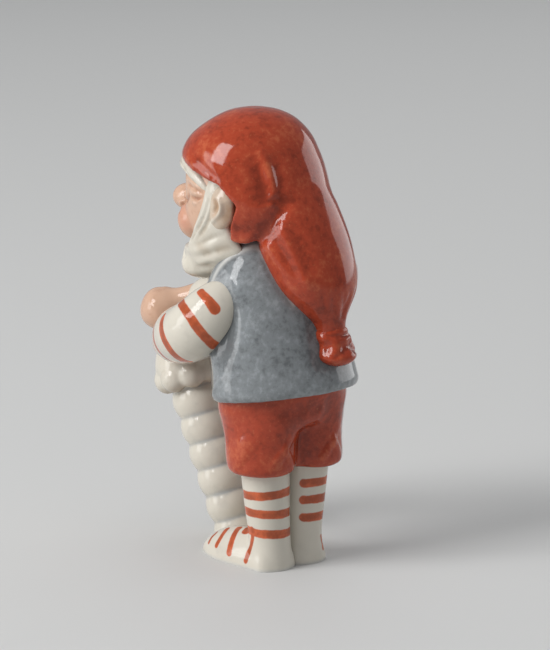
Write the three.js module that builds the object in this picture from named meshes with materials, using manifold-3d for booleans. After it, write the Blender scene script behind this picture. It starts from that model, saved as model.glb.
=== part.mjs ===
// A glazed porcelain house gnome that holds a ribbed cone in front of it.
// It is slip-cast in sections, and the sections are luted together with slip before they are glazed.
// Millimetres, +Z up. The figure faces -Y and its left side is +X. Its soles stand on the plane z = 0.
import * as THREE from "three";
import { mergeVertices } from "three/addons/utils/BufferGeometryUtils.js";
import Module from "manifold-3d";

const wasm = await Module();
wasm.setup();

// Casting practice
const WALL = 3.2; // wall of a hollow section
const SEAM = 0.3; // slip seam between two sections
const LAP = 3; // how far a spigot reaches into its socket
const VENT_RADIUS = 1.5; // air hole that a hollow section needs in the kiln

// Stockinged legs and feet
const LEG_HEIGHT = 25.8; // floor to the hem of the breeches
const KNEE_SPACING = 13.3; // between the two legs under the breeches
const ANKLE_SPACING = 10.8;
const KNEE_WIDTH = 12.8;
const ANKLE_WIDTH = 11;
const FOOT_LENGTH = 30.8;
const FOOT_WIDTH = 13;
const INSTEP_HEIGHT = 9;
const TOE_HEIGHT = 6;
const HEEL_REACH = 6.2; // heel behind the axis of the leg
const TOE_SPREAD = 1.4; // how far the toes turn out

// Knee breeches
const BREECHES_HEIGHT = 21.2; // hem to waist
const BREECH_LEG_WIDTH = 19;
const BREECH_SPACING = 14.6; // between the axes of the two breech legs
const HIP_WIDTH = 34.8;
const HIP_DEPTH = 27.4;
const HEM_ROUND = 1.7; // rounding of the breeches' hem

// Tunic
const TUNIC_HEIGHT = 37; // hem to neck
const TUNIC_HEM_WIDTH = 42;
const TUNIC_HEM_DEPTH = 33.4;
const CHEST_WIDTH = 38.4;
const CHEST_DEPTH = 30.6;
const SHOULDER_WIDTH = 30;
const SHOULDER_DEPTH = 24.6;
const NECK_WIDTH = 21;
const TUNIC_LEAN = 10; // how far the neck stands in front of the hem
const HEM_TIP = 8.6; // degrees that the hem hangs lower in front
const NECK_TIP = 34; // degrees that the neck is bowed

// Head, which is turned towards the figure's left
const HEAD_TURN = 14;
const HEAD_WIDTH = 30.8;
const HEAD_DEPTH = 33.4;
const HEAD_HEIGHT = 28; // neck to the cut under the cap
const HEAD_SINK = 4.4; // how far the neck of the head starts below the top of the tunic
const HEAD_LEAN = 1.7; // axis of the head in front of the neck
const FACE_REACH = 4.4; // middle of the face in front of the axis of the head
const NOSE_WIDTH = 7.8;
const NOSE_HEIGHT = 7;
const NOSE_REACH = 5.2; // tip of the nose in front of the face
const NOSE_RISE = 14; // nose above the head's neck
const CHEEK_WIDTH = 11;
const CHEEK_SPACING = 14.6;
const CHEEK_RISE = 11.4;
const MUZZLE_WIDTH = 15; // lips and chin under the nose
const MUZZLE_DEPTH = 11;
const MUZZLE_HEIGHT = 10;
const MUZZLE_RISE = 7;

// Eyebrows
const BROW_THICKNESS = 3.4;
const BROW_RISE = 25.4; // above the head's neck
const BROW_DROP = 6; // outer end below the inner end

// Ears
const EAR_HEIGHT = 12.4;
const EAR_WIDTH = 7.4;
const EAR_THICKNESS = 3.6;
const EAR_RISE = 15.2; // middle of the ear above the head's neck
const EAR_SETBACK = 1.2; // middle of the ear behind the axis of the head

// Beard
const BEARD_WIDTH = 26;
const BEARD_DEPTH = 18;
const BEARD_DROP = 7; // beard below the head's neck
const BEARD_RISE = 4.6; // top of the chin beard above the head's neck
const SIDEBURN_WIDTH = 6;
const JAW_WIDTH = 18; // beard from the cheek back to the nape of the cap
const SIDEBURN_THICKNESS = 3;

// Cap
const CAP_WIDTH = 38.6;
const CAP_DEPTH = 38.6;
const CAP_HEIGHT = 32.4; // nape to crown
const CAP_NAPE_RISE = 7; // nape of the cap above the head's neck
const RIM_RISE = 21.5; // rim of the cap over the ear, above the head's neck
const RIM_SLOPE = 18; // degrees that the rim rises towards the brow
const RIM_SETBACK = 6.8; // rim of the cap behind the ear, behind the axis of the head
const RIM_ROUND = 5;
const NAPE_CURL = 4; // how far the nape of the cap curls forward under the ear

// Tail of the cap, which hangs down the back
const TAIL_WIDTH = 28;
const TAIL_DEPTH = 22.4;
const TAIL_HEIGHT = 38; // from inside the crown to the neck of the tail
const TAIL_TOP_RISE = 22; // top of the tail above the head's neck
const TAIL_SWING = 23.6; // neck of the tail behind the axis of the head
const TAIL_NECK_WIDTH = 8.4;

// Tassel
const TASSEL_HEIGHT = 10;
const TASSEL_WIDTH = 11.6;
const TASSEL_DEPTH = 9.8;

// Sleeves, measured from the neck of the tunic
const SLEEVE_WIDTH = 15.8;
const SLEEVE_SPREAD = 36.8; // between the two elbows
const SHOULDER_DROP = 11.5;
const ELBOW_DROP = 19.4;
const FOREARM_SAG = 0.8; // middle of the left forearm below a straight line, and of the right above it
const CUFF_DROP = 28.6;
const CUFF_WIDTH = 11.4;
const LEFT_CUFF_REACH = 21.2;
const LEFT_CUFF_OFFSET = 11.5; // left cuff from the middle of the figure
const RIGHT_CUFF_REACH = 33.8;
const RIGHT_CUFF_OFFSET = 2.4;
const RIGHT_CUFF_LIFT = 7.8; // the right hand lies over the left

// Hands
const HAND_WIDTH = 12.2;
const LEFT_HAND_LENGTH = 16.5;
const RIGHT_HAND_LENGTH = 13.4;
const THUMB_WIDTH = 5;

// Ribbed cone and its frill
const CONE_TOP_WIDTH = 13.4;
const CONE_TIP_WIDTH = 12;
const CONE_REACH = 28.4; // tip of the cone in front of the leg axes
const CONE_OFFSET = 9.4; // tip of the cone towards the figure's right
const HOLD_REACH = 17.2; // top of the frill in front of the left cuff
const HOLD_OFFSET = 13.7; // top of the frill to the right of the left cuff
const HOLD_RISE = 1.8; // top of the frill above the left cuff
const RIB_COUNT = 6;
const RIB_HEIGHT = 0.6;
const FRILL_WIDTH = 20;
const FRILL_HEIGHT = 19; // underside of the lobes to the top under the hands
const FRILL_LOBES = 8;
const LOBE_HEIGHT = 0.9;

// Where the sections stand
const HEM_Z = LEG_HEIGHT + BREECHES_HEIGHT;
const NECK_Z = HEM_Z + TUNIC_HEIGHT;
const NECK_Y = -TUNIC_LEAN;
const HEAD_Z = NECK_Z - HEAD_SINK;
const HEAD_Y = NECK_Y - HEAD_LEAN;
const FACE_Y = -FACE_REACH - HEAD_DEPTH / 2;

// The head and its cap are built on their own axis, then turned and set on the neck.
const headPose = new THREE.Matrix4()
  .makeRotationZ(THREE.MathUtils.degToRad(HEAD_TURN))
  .setPosition(0, HEAD_Y, HEAD_Z);

// Mesh fineness
const SIDES = 24;
const SMALL_SIDES = 14;
const CORE = { sides: 14, steps: 7 };

// Solids and meshes

// A closed mesh as a solid that can be joined and cut.
function solidOf(geometry, pose = null) {
  const bare = geometry.clone();
  bare.deleteAttribute("normal");
  bare.deleteAttribute("uv");
  if (pose) bare.applyMatrix4(pose);
  const merged = mergeVertices(bare, 1e-4);
  return new wasm.Manifold(
    new wasm.Mesh({
      numProp: 3,
      vertProperties: merged.attributes.position.array,
      triVerts: new Uint32Array(merged.index.array),
    }),
  );
}

// The largest body of a cut solid as a mesh geometry, without the crumbs that a cut can leave.
function geometryOf(solid) {
  const bodies = solid.decompose().sort((a, b) => b.volume() - a.volume());
  const mesh = bodies[0].getMesh();
  const geometry = new THREE.BufferGeometry();
  geometry.setAttribute("position", new THREE.BufferAttribute(mesh.vertProperties, mesh.numProp));
  geometry.setIndex(new THREE.BufferAttribute(mesh.triVerts, 1));
  return geometry.toNonIndexed();
}

const join = (...solids) => solids.reduce((all, next) => all.add(next));
const cut = (solid, ...tools) => tools.reduce((left, tool) => left.subtract(tool), solid);

// A closed skin over rings that all have the same number of points.
function skin(rings, pose) {
  const sides = rings[0].length;
  const middle = (ring) => ring.reduce((sum, p) => sum.add(p), new THREE.Vector3()).divideScalar(sides);
  const points = [...rings.flat(), middle(rings[0]), middle(rings.at(-1))];
  const firstPole = points.length - 2;
  const lastPole = points.length - 1;
  const faces = [];
  const at = (ring, side) => ring * sides + (side % sides);
  for (let side = 0; side < sides; side++) {
    faces.push(firstPole, at(0, side + 1), at(0, side));
    for (let ring = 0; ring + 1 < rings.length; ring++) {
      faces.push(at(ring, side), at(ring, side + 1), at(ring + 1, side + 1));
      faces.push(at(ring, side), at(ring + 1, side + 1), at(ring + 1, side));
    }
    faces.push(lastPole, at(rings.length - 1, side), at(rings.length - 1, side + 1));
  }
  return solidOf(new THREE.BufferGeometry().setFromPoints(points).setIndex(faces), pose);
}

// One section of a form: where its middle is, its width and depth, and the degrees it is tipped forward.
const section = (x, y, z, width, depth, tip = 0) => ({
  at: new THREE.Vector3(x, y, z),
  size: new THREE.Vector3(width / 2, depth / 2, tip),
});

// A smooth form through its sections. A round end closes in a quarter ellipse over a share of the length.
// A form with a follow direction has its sections square to its path, and otherwise they lie level or tipped.
// Grow makes the whole form fatter, and reach makes it longer at both ends.
function form(sections, options = {}, grow = 0, reach = grow) {
  const { sides = SIDES, steps = 12, roundStart = 0, roundEnd = 0 } = options;
  const { follow = null, relief = null, pose = null } = options;
  const path = new THREE.CatmullRomCurve3(sections.map((s) => s.at));
  const sizes = new THREE.CatmullRomCurve3(sections.map((s) => s.size));
  const rings = [];
  for (let step = 0; step <= steps; step++) {
    const t = easedShare(step / steps, roundStart, roundEnd);
    const closing = endClosing(t, roundStart, roundEnd);
    const along = path.getTangent(t);
    const middle = path.getPoint(t);
    if (step === 0) middle.addScaledVector(along, -reach);
    if (step === steps) middle.addScaledVector(along, reach);
    const size = sizes.getPoint(t);
    const across = new THREE.Vector3(1, 0, 0);
    const over = new THREE.Vector3(0, 1, 0).applyAxisAngle(across, THREE.MathUtils.degToRad(size.z));
    if (follow) {
      across.crossVectors(follow, along).normalize();
      over.crossVectors(along, across);
    }
    const ring = [];
    for (let side = 0; side < sides; side++) {
      const angle = (side / sides) * 2 * Math.PI;
      const swell = relief ? relief(angle, t) : 0;
      const width = Math.max((size.x + swell) * closing + grow, 0.02);
      const depth = Math.max((size.y + swell) * closing + grow, 0.02);
      ring.push(
        middle
          .clone()
          .addScaledVector(across, width * Math.cos(angle))
          .addScaledVector(over, depth * Math.sin(angle)),
      );
    }
    rings.push(ring);
  }
  return skin(rings, pose);
}

// Steps crowd towards the round ends, where the form turns fastest.
function easedShare(share, roundStart, roundEnd) {
  if (roundStart && roundEnd) return (1 - Math.cos(Math.PI * share)) / 2;
  if (roundStart) return 1 - Math.sin((Math.PI / 2) * (1 - share));
  if (roundEnd) return Math.sin((Math.PI / 2) * share);
  return share;
}

// How far a form has closed in at t: 1 along its length, 0 at a round end.
function endClosing(t, roundStart, roundEnd) {
  const ease = (left, length) => Math.sqrt(Math.max(1 - (1 - Math.min(left / length, 1)) ** 2, 0));
  return (roundStart ? ease(t, roundStart) : 1) * (roundEnd ? ease(1 - t, roundEnd) : 1);
}

// A ball of three sizes.
function ball(x, y, z, width, depth, height, grow = 0, pose = null) {
  const geometry = new THREE.SphereGeometry(1, SMALL_SIDES, SMALL_SIDES / 2);
  geometry.rotateX(Math.PI / 2);
  geometry.scale(width / 2 + grow, depth / 2 + grow, height / 2 + grow);
  geometry.translate(x, y, z);
  return solidOf(geometry, pose);
}

// A block between two corners.
function block(low, high) {
  const size = new THREE.Vector3().subVectors(high, low);
  const geometry = new THREE.BoxGeometry(size.x, size.y, size.z);
  geometry.translate((low.x + high.x) / 2, (low.y + high.y) / 2, (low.z + high.z) / 2);
  return solidOf(geometry);
}

// A round air hole between two points.
function airHole(from, to, radius = VENT_RADIUS, pose = null) {
  const length = from.distanceTo(to);
  const geometry = new THREE.CylinderGeometry(radius, radius, length, 10);
  const along = new THREE.Vector3().subVectors(to, from).normalize();
  geometry.applyQuaternion(new THREE.Quaternion().setFromUnitVectors(new THREE.Vector3(0, 1, 0), along));
  geometry.translate((from.x + to.x) / 2, (from.y + to.y) / 2, (from.z + to.z) / 2);
  return solidOf(geometry, pose);
}

const FAR = 200; // past every side of the figure
const belowFloor = block(new THREE.Vector3(-FAR, -FAR, -FAR), new THREE.Vector3(FAR, FAR, 0));

// Legs: side is 1 for the figure's left and -1 for its right

function leg(side, grow = 0) {
  const knee = (side * KNEE_SPACING) / 2;
  const ankle = (side * ANKLE_SPACING) / 2;
  const toe = HEEL_REACH - FOOT_LENGTH;
  const toeX = ankle + side * TOE_SPREAD;
  const calfWidth = (ANKLE_WIDTH + KNEE_WIDTH) / 2;
  const calf = form(
    [
      section(ankle, 0.4, 0, ANKLE_WIDTH + 1.4, ANKLE_WIDTH + 1.4),
      section(ankle, 0.2, LEG_HEIGHT * 0.28, ANKLE_WIDTH, ANKLE_WIDTH),
      section((ankle + knee) / 2, 0, LEG_HEIGHT * 0.64, calfWidth, calfWidth),
      section(knee, 0, LEG_HEIGHT, KNEE_WIDTH, KNEE_WIDTH),
      section(knee, 0, LEG_HEIGHT + LAP, KNEE_WIDTH, KNEE_WIDTH),
    ],
    { steps: 6 },
    grow,
  );
  const foot = form(
    [
      section(ankle, HEEL_REACH, 0, FOOT_WIDTH * 0.94, INSTEP_HEIGHT * 1.5),
      section(ankle, 0, 0, FOOT_WIDTH * 0.96, INSTEP_HEIGHT * 2),
      section((ankle + toeX) / 2, toe * 0.5, 0, FOOT_WIDTH, (INSTEP_HEIGHT + TOE_HEIGHT) * 1.13),
      section(toeX, toe, 0, FOOT_WIDTH * 0.8, TOE_HEIGHT * 1.9),
    ],
    { steps: 11, roundStart: 0.24, roundEnd: 0.34, follow: new THREE.Vector3(0, 0, -1) },
    grow,
  );
  return cut(join(calf, foot), belowFloor);
}

function legPiece(side) {
  const ankle = (side * ANKLE_SPACING) / 2;
  const knee = (side * KNEE_SPACING) / 2;
  const half = block(
    new THREE.Vector3(side > 0 ? SEAM / 2 : -FAR, -FAR, 0),
    new THREE.Vector3(side > 0 ? FAR : -SEAM / 2, FAR, FAR),
  );
  const vent = airHole(new THREE.Vector3(ankle, 0, -1), new THREE.Vector3(knee, 0, LEG_HEIGHT + LAP + 1));
  return cut(leg(side).intersect(half), vent);
}

// Breeches

function breechLeg(side, grow = 0) {
  const x = (side * BREECH_SPACING) / 2;
  const narrow = BREECH_LEG_WIDTH - 2 * HEM_ROUND;
  const place = (share, y, width, depth) =>
    section(x, y, LEG_HEIGHT + BREECHES_HEIGHT * share, BREECH_LEG_WIDTH * width, BREECH_LEG_WIDTH * depth);
  return form(
    [
      section(x, 0, LEG_HEIGHT, narrow, narrow),
      section(x, 0, LEG_HEIGHT + HEM_ROUND, BREECH_LEG_WIDTH, BREECH_LEG_WIDTH),
      place(0.45, -0.2, 0.95, 1.04),
      place(0.75, -0.6, 0.94, 1.27),
      place(1, -0.6, 0.9, 1.28),
    ],
    { steps: 9, roundEnd: 0.2 },
    grow,
  );
}

function hips(grow = 0, reach = grow, options = { steps: 7, roundStart: 0.3 }) {
  return form(
    [
      section(0, -0.6, LEG_HEIGHT + BREECHES_HEIGHT * 0.4, HIP_WIDTH * 0.6, HIP_DEPTH * 0.6),
      section(0, -1, LEG_HEIGHT + BREECHES_HEIGHT * 0.72, HIP_WIDTH * 0.98, HIP_DEPTH * 0.97, HEM_TIP * 0.6),
      section(0, -1, HEM_Z, HIP_WIDTH, HIP_DEPTH, HEM_TIP),
      section(0, -1.4, HEM_Z + LAP * 1.6, HIP_WIDTH * 0.9, HIP_DEPTH * 0.9, HEM_TIP),
    ],
    options,
    grow,
    reach,
  );
}

const breeches = (grow = 0) => join(hips(grow), breechLeg(1, grow), breechLeg(-1, grow));

function breechesPiece() {
  const core = (side) =>
    airHole(
      new THREE.Vector3((side * KNEE_SPACING) / 2, 0, LEG_HEIGHT + LAP - 1),
      new THREE.Vector3((side * KNEE_SPACING) / 2, 0, HEM_Z - WALL),
      KNEE_WIDTH / 2 - 2,
    );
  const waist = hips(-WALL, WALL, { ...CORE, roundStart: 0.3 });
  return cut(breeches(), waist, core(1), core(-1), leg(1, SEAM), leg(-1, SEAM));
}

// Tunic

function tunic(grow = 0, reach = grow, options = { steps: 13 }) {
  const tipAt = (share) => HEM_TIP + (NECK_TIP - HEM_TIP) * share;
  const place = (share, width, depth, tip) =>
    section(0, -TUNIC_LEAN * share ** 0.9, HEM_Z + TUNIC_HEIGHT * share, width, depth, tipAt(tip));
  return form(
    [
      section(0, 0.2, HEM_Z - 1.2, TUNIC_HEM_WIDTH - 1.8, TUNIC_HEM_DEPTH - 1.8, HEM_TIP),
      place(0.05, TUNIC_HEM_WIDTH, TUNIC_HEM_DEPTH, 0),
      place(0.3, (TUNIC_HEM_WIDTH + CHEST_WIDTH) / 2, (TUNIC_HEM_DEPTH + CHEST_DEPTH) / 2, 0.05),
      place(0.52, CHEST_WIDTH, CHEST_DEPTH, 0.2),
      place(0.72, CHEST_WIDTH * 0.94, CHEST_DEPTH * 0.93, 0.5),
      place(0.88, SHOULDER_WIDTH, SHOULDER_DEPTH, 0.8),
      place(1, NECK_WIDTH, NECK_WIDTH * 0.9, 1),
    ],
    options,
    grow,
    reach,
  );
}

function tunicPiece() {
  const armVent = (side) =>
    airHole(
      new THREE.Vector3(0, NECK_Y - 2, NECK_Z - SHOULDER_DROP - 4),
      new THREE.Vector3(side * CHEST_WIDTH, NECK_Y - 2, NECK_Z - SHOULDER_DROP - 4),
    );
  return cut(tunic(), tunic(-WALL, WALL, CORE), breeches(SEAM), head(SEAM), armVent(1), armVent(-1));
}

// Head, on its own axis with the neck at z = 0

function skull(grow = 0, reach = grow, options = { steps: 10 }) {
  const place = (share, y, width, depth) =>
    section(0, y, HEAD_HEIGHT * share, HEAD_WIDTH * width, HEAD_DEPTH * depth);
  return form(
    [
      place(0, -FACE_REACH * 0.2, 0.57, 0.59),
      place(0.14, -FACE_REACH * 0.6, 0.74, 0.7),
      place(0.32, -FACE_REACH * 0.9, 0.93, 0.92),
      place(0.54, -FACE_REACH * 0.85, 1, 0.97),
      place(0.76, -FACE_REACH * 0.8, 0.985, 0.955),
      place(0.92, -FACE_REACH * 0.8, 0.88, 0.9),
      place(1, -FACE_REACH * 0.76, 0.78, 0.8),
    ],
    { ...options, pose: headPose },
    grow,
    reach,
  );
}

function head(grow = 0) {
  const noseDepth = NOSE_REACH * 1.6;
  const noseY = FACE_Y - NOSE_REACH + noseDepth / 2;
  const nose = ball(0, noseY, NOSE_RISE, NOSE_WIDTH, noseDepth, NOSE_HEIGHT, grow, headPose);
  const cheekY = FACE_Y + CHEEK_WIDTH * 0.745;
  const cheek = (side) => {
    const x = (side * CHEEK_SPACING) / 2;
    return ball(x, cheekY, CHEEK_RISE, CHEEK_WIDTH, CHEEK_WIDTH, CHEEK_WIDTH, grow, headPose);
  };
  const muzzleY = FACE_Y + MUZZLE_DEPTH * 0.51;
  const muzzle = ball(0, muzzleY, MUZZLE_RISE, MUZZLE_WIDTH, MUZZLE_DEPTH, MUZZLE_HEIGHT, grow, headPose);
  return join(skull(grow), nose, muzzle, cheek(1), cheek(-1));
}

const headPiece = () => cut(head(), skull(-WALL, WALL, CORE));

// Cap: a hollow crown with an opening for the face, a tail that hangs down the back, and a tassel

function crown(grow = 0, reach = grow, options = { steps: 13 }) {
  const place = (share, y, size) =>
    section(0, y, CAP_NAPE_RISE + CAP_HEIGHT * share, CAP_WIDTH * size, CAP_DEPTH * size);
  return form(
    [
      place(0, 2.8, 0.8),
      place(0.15, 1.6, 0.94),
      place(0.335, 0.2, 1),
      place(0.524, -0.8, 0.966),
      place(0.65, -1.6, 0.92),
      place(0.78, -1.4, 0.805),
      place(0.9, -0.5, 0.585),
      place(0.97, -0.3, 0.36),
      place(1, -0.3, 0.13),
    ],
    { ...options, pose: headPose },
    grow,
    reach,
  );
}

// The space in front of the cap's rim: up behind the ear, round a corner, then rising towards the brow.
function faceOpening() {
  const rise = Math.tan(THREE.MathUtils.degToRad(RIM_SLOPE));
  const profile = new THREE.Shape();
  profile.moveTo(-FAR, -FAR);
  profile.lineTo(RIM_SETBACK - NAPE_CURL, -FAR);
  profile.lineTo(RIM_SETBACK - NAPE_CURL, CAP_NAPE_RISE);
  profile.lineTo(RIM_SETBACK, RIM_RISE - RIM_ROUND);
  profile.quadraticCurveTo(RIM_SETBACK, RIM_RISE, RIM_SETBACK - RIM_ROUND, RIM_RISE);
  profile.lineTo(FACE_Y, RIM_RISE - FACE_Y * rise);
  profile.lineTo(-FAR, RIM_RISE - FACE_Y * rise);
  const across = { depth: 2 * FAR, bevelEnabled: false, curveSegments: 4 };
  const geometry = new THREE.ExtrudeGeometry(profile, across);
  geometry.translate(0, 0, -FAR);
  geometry.rotateX(Math.PI / 2);
  geometry.rotateZ(Math.PI / 2);
  return solidOf(geometry, headPose);
}

function tail(grow = 0, reach = grow, options = { steps: 13 }) {
  const riseAt = (share) => TAIL_TOP_RISE - TAIL_HEIGHT * share;
  const place = (share, swing, width, depth) =>
    section(0, TAIL_SWING * swing, riseAt(share), TAIL_WIDTH * width, TAIL_DEPTH * depth);
  return form(
    [
      section(0, TAIL_SWING * 1.02, riseAt(1) - LAP, TAIL_NECK_WIDTH * 0.86, TAIL_NECK_WIDTH * 0.8),
      section(0, TAIL_SWING, riseAt(1), TAIL_NECK_WIDTH, TAIL_NECK_WIDTH * 0.94),
      place(0.94, 0.97, 0.37, 0.4),
      place(0.87, 0.93, 0.54, 0.54),
      place(0.7, 0.83, 0.86, 0.85),
      place(0.434, 0.66, 1, 1),
      place(0.16, 0.46, 0.97, 0.99),
      place(0, 0.29, 0.9, 1.03),
      place(-0.15, 0.08, 0.8, 1.12),
    ],
    { ...options, pose: headPose },
    grow,
    reach,
  );
}

function tassel(grow = 0) {
  const top = TAIL_TOP_RISE - TAIL_HEIGHT + SEAM;
  const place = (share, y, size) =>
    section(0, TAIL_SWING + y, top - TASSEL_HEIGHT * share, TASSEL_WIDTH * size, TASSEL_DEPTH * size);
  return form(
    [
      place(1, 2.4, 0.94),
      place(0.7, 2.2, 1),
      place(0.42, 1.4, 0.82),
      place(0.24, 1, 0.9),
      place(0, 0.4, 0.84),
    ],
    { sides: 18, steps: 9, roundStart: 0.25, roundEnd: 0.1, pose: headPose },
    grow,
  );
}

function crownPiece() {
  const tailVent = airHole(
    new THREE.Vector3(0, 0, CAP_NAPE_RISE + CAP_HEIGHT * 0.3),
    new THREE.Vector3(0, CAP_DEPTH, CAP_NAPE_RISE + CAP_HEIGHT * 0.15),
    VENT_RADIUS,
    headPose,
  );
  return cut(crown(), crown(-WALL, -WALL, CORE), head(SEAM), faceOpening(), tunic(SEAM), tailVent);
}

const tailPiece = () => cut(tail(), tail(-WALL, -LAP * 2, CORE), crown(SEAM), tunic(SEAM), head(SEAM));
const tasselPiece = () => cut(tassel(), tail(SEAM), tunic(SEAM));

// Beard: a rounded mass under the chin and a sideburn up to each ear

function beard(grow = 0) {
  const chin = form(
    [
      section(0, FACE_Y + BEARD_DEPTH * 0.41, -BEARD_DROP, BEARD_WIDTH * 0.66, BEARD_DEPTH * 0.62),
      section(0, FACE_Y + BEARD_DEPTH * 0.54, -BEARD_DROP * 0.5, BEARD_WIDTH * 0.9, BEARD_DEPTH * 0.92),
      section(0, FACE_Y + BEARD_DEPTH * 0.62, BEARD_RISE * 0.2, BEARD_WIDTH, BEARD_DEPTH),
      section(0, FACE_Y + BEARD_DEPTH * 0.69, BEARD_RISE, BEARD_WIDTH * 1.18, BEARD_DEPTH * 1.04),
    ],
    { sides: 22, steps: 8, roundStart: 0.35, roundEnd: 0.15, pose: headPose },
    grow,
  );
  const sideburn = (side) => {
    const place = (x, y, z, thickness, width) =>
      section(side * HEAD_WIDTH * x, HEAD_DEPTH * y, z, SIDEBURN_THICKNESS * thickness, width);
    return form(
      [
        place(0.32, -0.2, -BEARD_DROP * 0.5, 2.2, JAW_WIDTH * 0.94),
        place(0.42, -0.1, EAR_RISE * 0.25, 2, JAW_WIDTH),
        place(0.48, -0.087, EAR_RISE * 0.66, 1.47, SIDEBURN_WIDTH * 1.83),
        place(0.497, -0.048, EAR_RISE + EAR_HEIGHT * 0.15, 1.2, SIDEBURN_WIDTH * 1.23),
        place(0.487, -0.024, EAR_RISE + EAR_HEIGHT * 0.74, 1, SIDEBURN_WIDTH * 1.1),
      ],
      { sides: 12, steps: 8, roundStart: 0.3, roundEnd: 0.2, pose: headPose },
      grow,
    );
  };
  return join(chin, sideburn(1), sideburn(-1));
}

const cap = (grow = 0) => crown(grow).subtract(faceOpening());

// Ears stand out between the sideburn and the rim of the cap

function ear(side, grow = 0) {
  const x = side * (HEAD_WIDTH / 2 - 0.2);
  const out = (share) => side * EAR_THICKNESS * share;
  return form(
    [
      section(x, EAR_SETBACK - 1.6, EAR_RISE - EAR_HEIGHT / 2, EAR_THICKNESS, EAR_WIDTH * 0.55),
      section(x + out(0.2), EAR_SETBACK - 0.4, EAR_RISE - EAR_HEIGHT * 0.2, EAR_THICKNESS, EAR_WIDTH * 0.96),
      section(x + out(0.34), EAR_SETBACK + 0.3, EAR_RISE + EAR_HEIGHT * 0.15, EAR_THICKNESS, EAR_WIDTH * 0.96),
      section(x + out(0.2), EAR_SETBACK, EAR_RISE + EAR_HEIGHT / 2, EAR_THICKNESS * 0.9, EAR_WIDTH * 0.7),
    ],
    { sides: 12, steps: 8, roundStart: 0.3, roundEnd: 0.3, pose: headPose },
    grow,
  );
}

const earPiece = (side) => cut(ear(side), head(SEAM), cap(SEAM));
const beardPiece = () => cut(beard(), head(SEAM), cap(SEAM), tunic(SEAM), ear(1, SEAM), ear(-1, SEAM));

// Eyebrows lie along the rim of the cap

function eyebrow(side, grow = 0) {
  const place = (x, y, drop, size) =>
    section(side * x, FACE_Y + HEAD_DEPTH * y, BROW_RISE - BROW_DROP * drop, BROW_THICKNESS * size, BROW_THICKNESS * size);
  const options = { sides: 12, steps: 8, roundStart: 0.15, roundEnd: 0.25 };
  return form(
    [
      place(BROW_THICKNESS / 2 + SEAM, 0.08, 0, 1),
      place(HEAD_WIDTH * 0.28, 0.15, 0.12, 1.05),
      place(HEAD_WIDTH * 0.42, 0.31, 0.5, 1),
      place(HEAD_WIDTH * 0.49, 0.49, 1, 0.76),
    ],
    { ...options, follow: new THREE.Vector3(0, 0, 1), pose: headPose },
    grow,
  );
}

const browPiece = (side) => cut(eyebrow(side), head(SEAM), cap(SEAM), beard(SEAM), ear(side, SEAM));

// Sleeves and hands

const isLeft = (side) => side > 0;
const cuffAt = (side) =>
  isLeft(side)
    ? new THREE.Vector3(LEFT_CUFF_OFFSET, NECK_Y - LEFT_CUFF_REACH, NECK_Z - CUFF_DROP)
    : new THREE.Vector3(-RIGHT_CUFF_OFFSET, NECK_Y - RIGHT_CUFF_REACH, NECK_Z - CUFF_DROP + RIGHT_CUFF_LIFT);

function sleeve(side, grow = 0) {
  const elbow = new THREE.Vector3((side * SLEEVE_SPREAD) / 2, NECK_Y - 1, NECK_Z - ELBOW_DROP);
  const cuff = cuffAt(side);
  const middle = elbow.clone().lerp(cuff, 0.55);
  middle.z -= side * FOREARM_SAG;
  const armhole = SLEEVE_WIDTH * 0.84;
  return form(
    [
      section(side * SHOULDER_WIDTH * 0.38, NECK_Y * 0.45, NECK_Z - SHOULDER_DROP, armhole, armhole),
      section(elbow.x, elbow.y, elbow.z, SLEEVE_WIDTH, SLEEVE_WIDTH),
      section(middle.x + side * 1.4, middle.y, middle.z, SLEEVE_WIDTH * 0.93, SLEEVE_WIDTH * 0.93),
      section(cuff.x, cuff.y, cuff.z, CUFF_WIDTH, CUFF_WIDTH),
    ],
    { sides: 20, steps: 10, roundEnd: 0.14, follow: new THREE.Vector3(0, 0, 1) },
    grow,
  );
}

const sleevePiece = (side) => cut(sleeve(side), tunic(SEAM), beard(SEAM), breeches(SEAM));

// The left hand holds the top of the frill, and the right hand lies over it.
function hand(side, grow = 0) {
  const wrist = cuffAt(side);
  const length = isLeft(side) ? LEFT_HAND_LENGTH : RIGHT_HAND_LENGTH;
  const inward = isLeft(side) ? 0.62 : 0.55;
  const heading = new THREE.Vector3(-side * inward, -0.8, isLeft(side) ? -0.2 : -0.36).normalize();
  const along = (share) => wrist.clone().addScaledVector(heading, length * share);
  const place = (share, drop, size) => {
    const at = along(share);
    return section(at.x, at.y, at.z - HAND_WIDTH * drop, HAND_WIDTH * size, HAND_WIDTH * size);
  };
  const fist = form(
    [
      place(-0.45, 0, 0.6),
      place(0.05, 0, 0.68),
      place(0.32, 0.02, 0.94),
      place(0.6, 0.06, 1.02),
      place(0.98, 0.13, 0.96),
    ],
    { sides: 16, steps: 9, roundEnd: 0.34, follow: new THREE.Vector3(0, 0, 1) },
    grow,
  );
  const lift = new THREE.Vector3(0, 0, HAND_WIDTH * 0.24);
  const root = along(0.3).add(lift);
  const tip = along(0.85).add(lift);
  const thumb = form(
    [
      section(root.x, root.y, root.z, THUMB_WIDTH, THUMB_WIDTH),
      section(tip.x, tip.y, tip.z, THUMB_WIDTH, THUMB_WIDTH),
    ],
    { sides: 10, steps: 5, roundStart: 0.3, roundEnd: 0.4, follow: new THREE.Vector3(0, 0, 1) },
    grow,
  );
  return join(fist, thumb);
}

const leftHandPiece = () => cut(hand(1), sleeve(1, SEAM), sleeve(-1, SEAM), beard(SEAM));
const rightHandPiece = () => cut(hand(-1), sleeve(1, SEAM), sleeve(-1, SEAM), hand(1, SEAM), beard(SEAM));

// Cone: a ribbed taper that stands in front of the feet, closed at the top by a lobed frill

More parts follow.
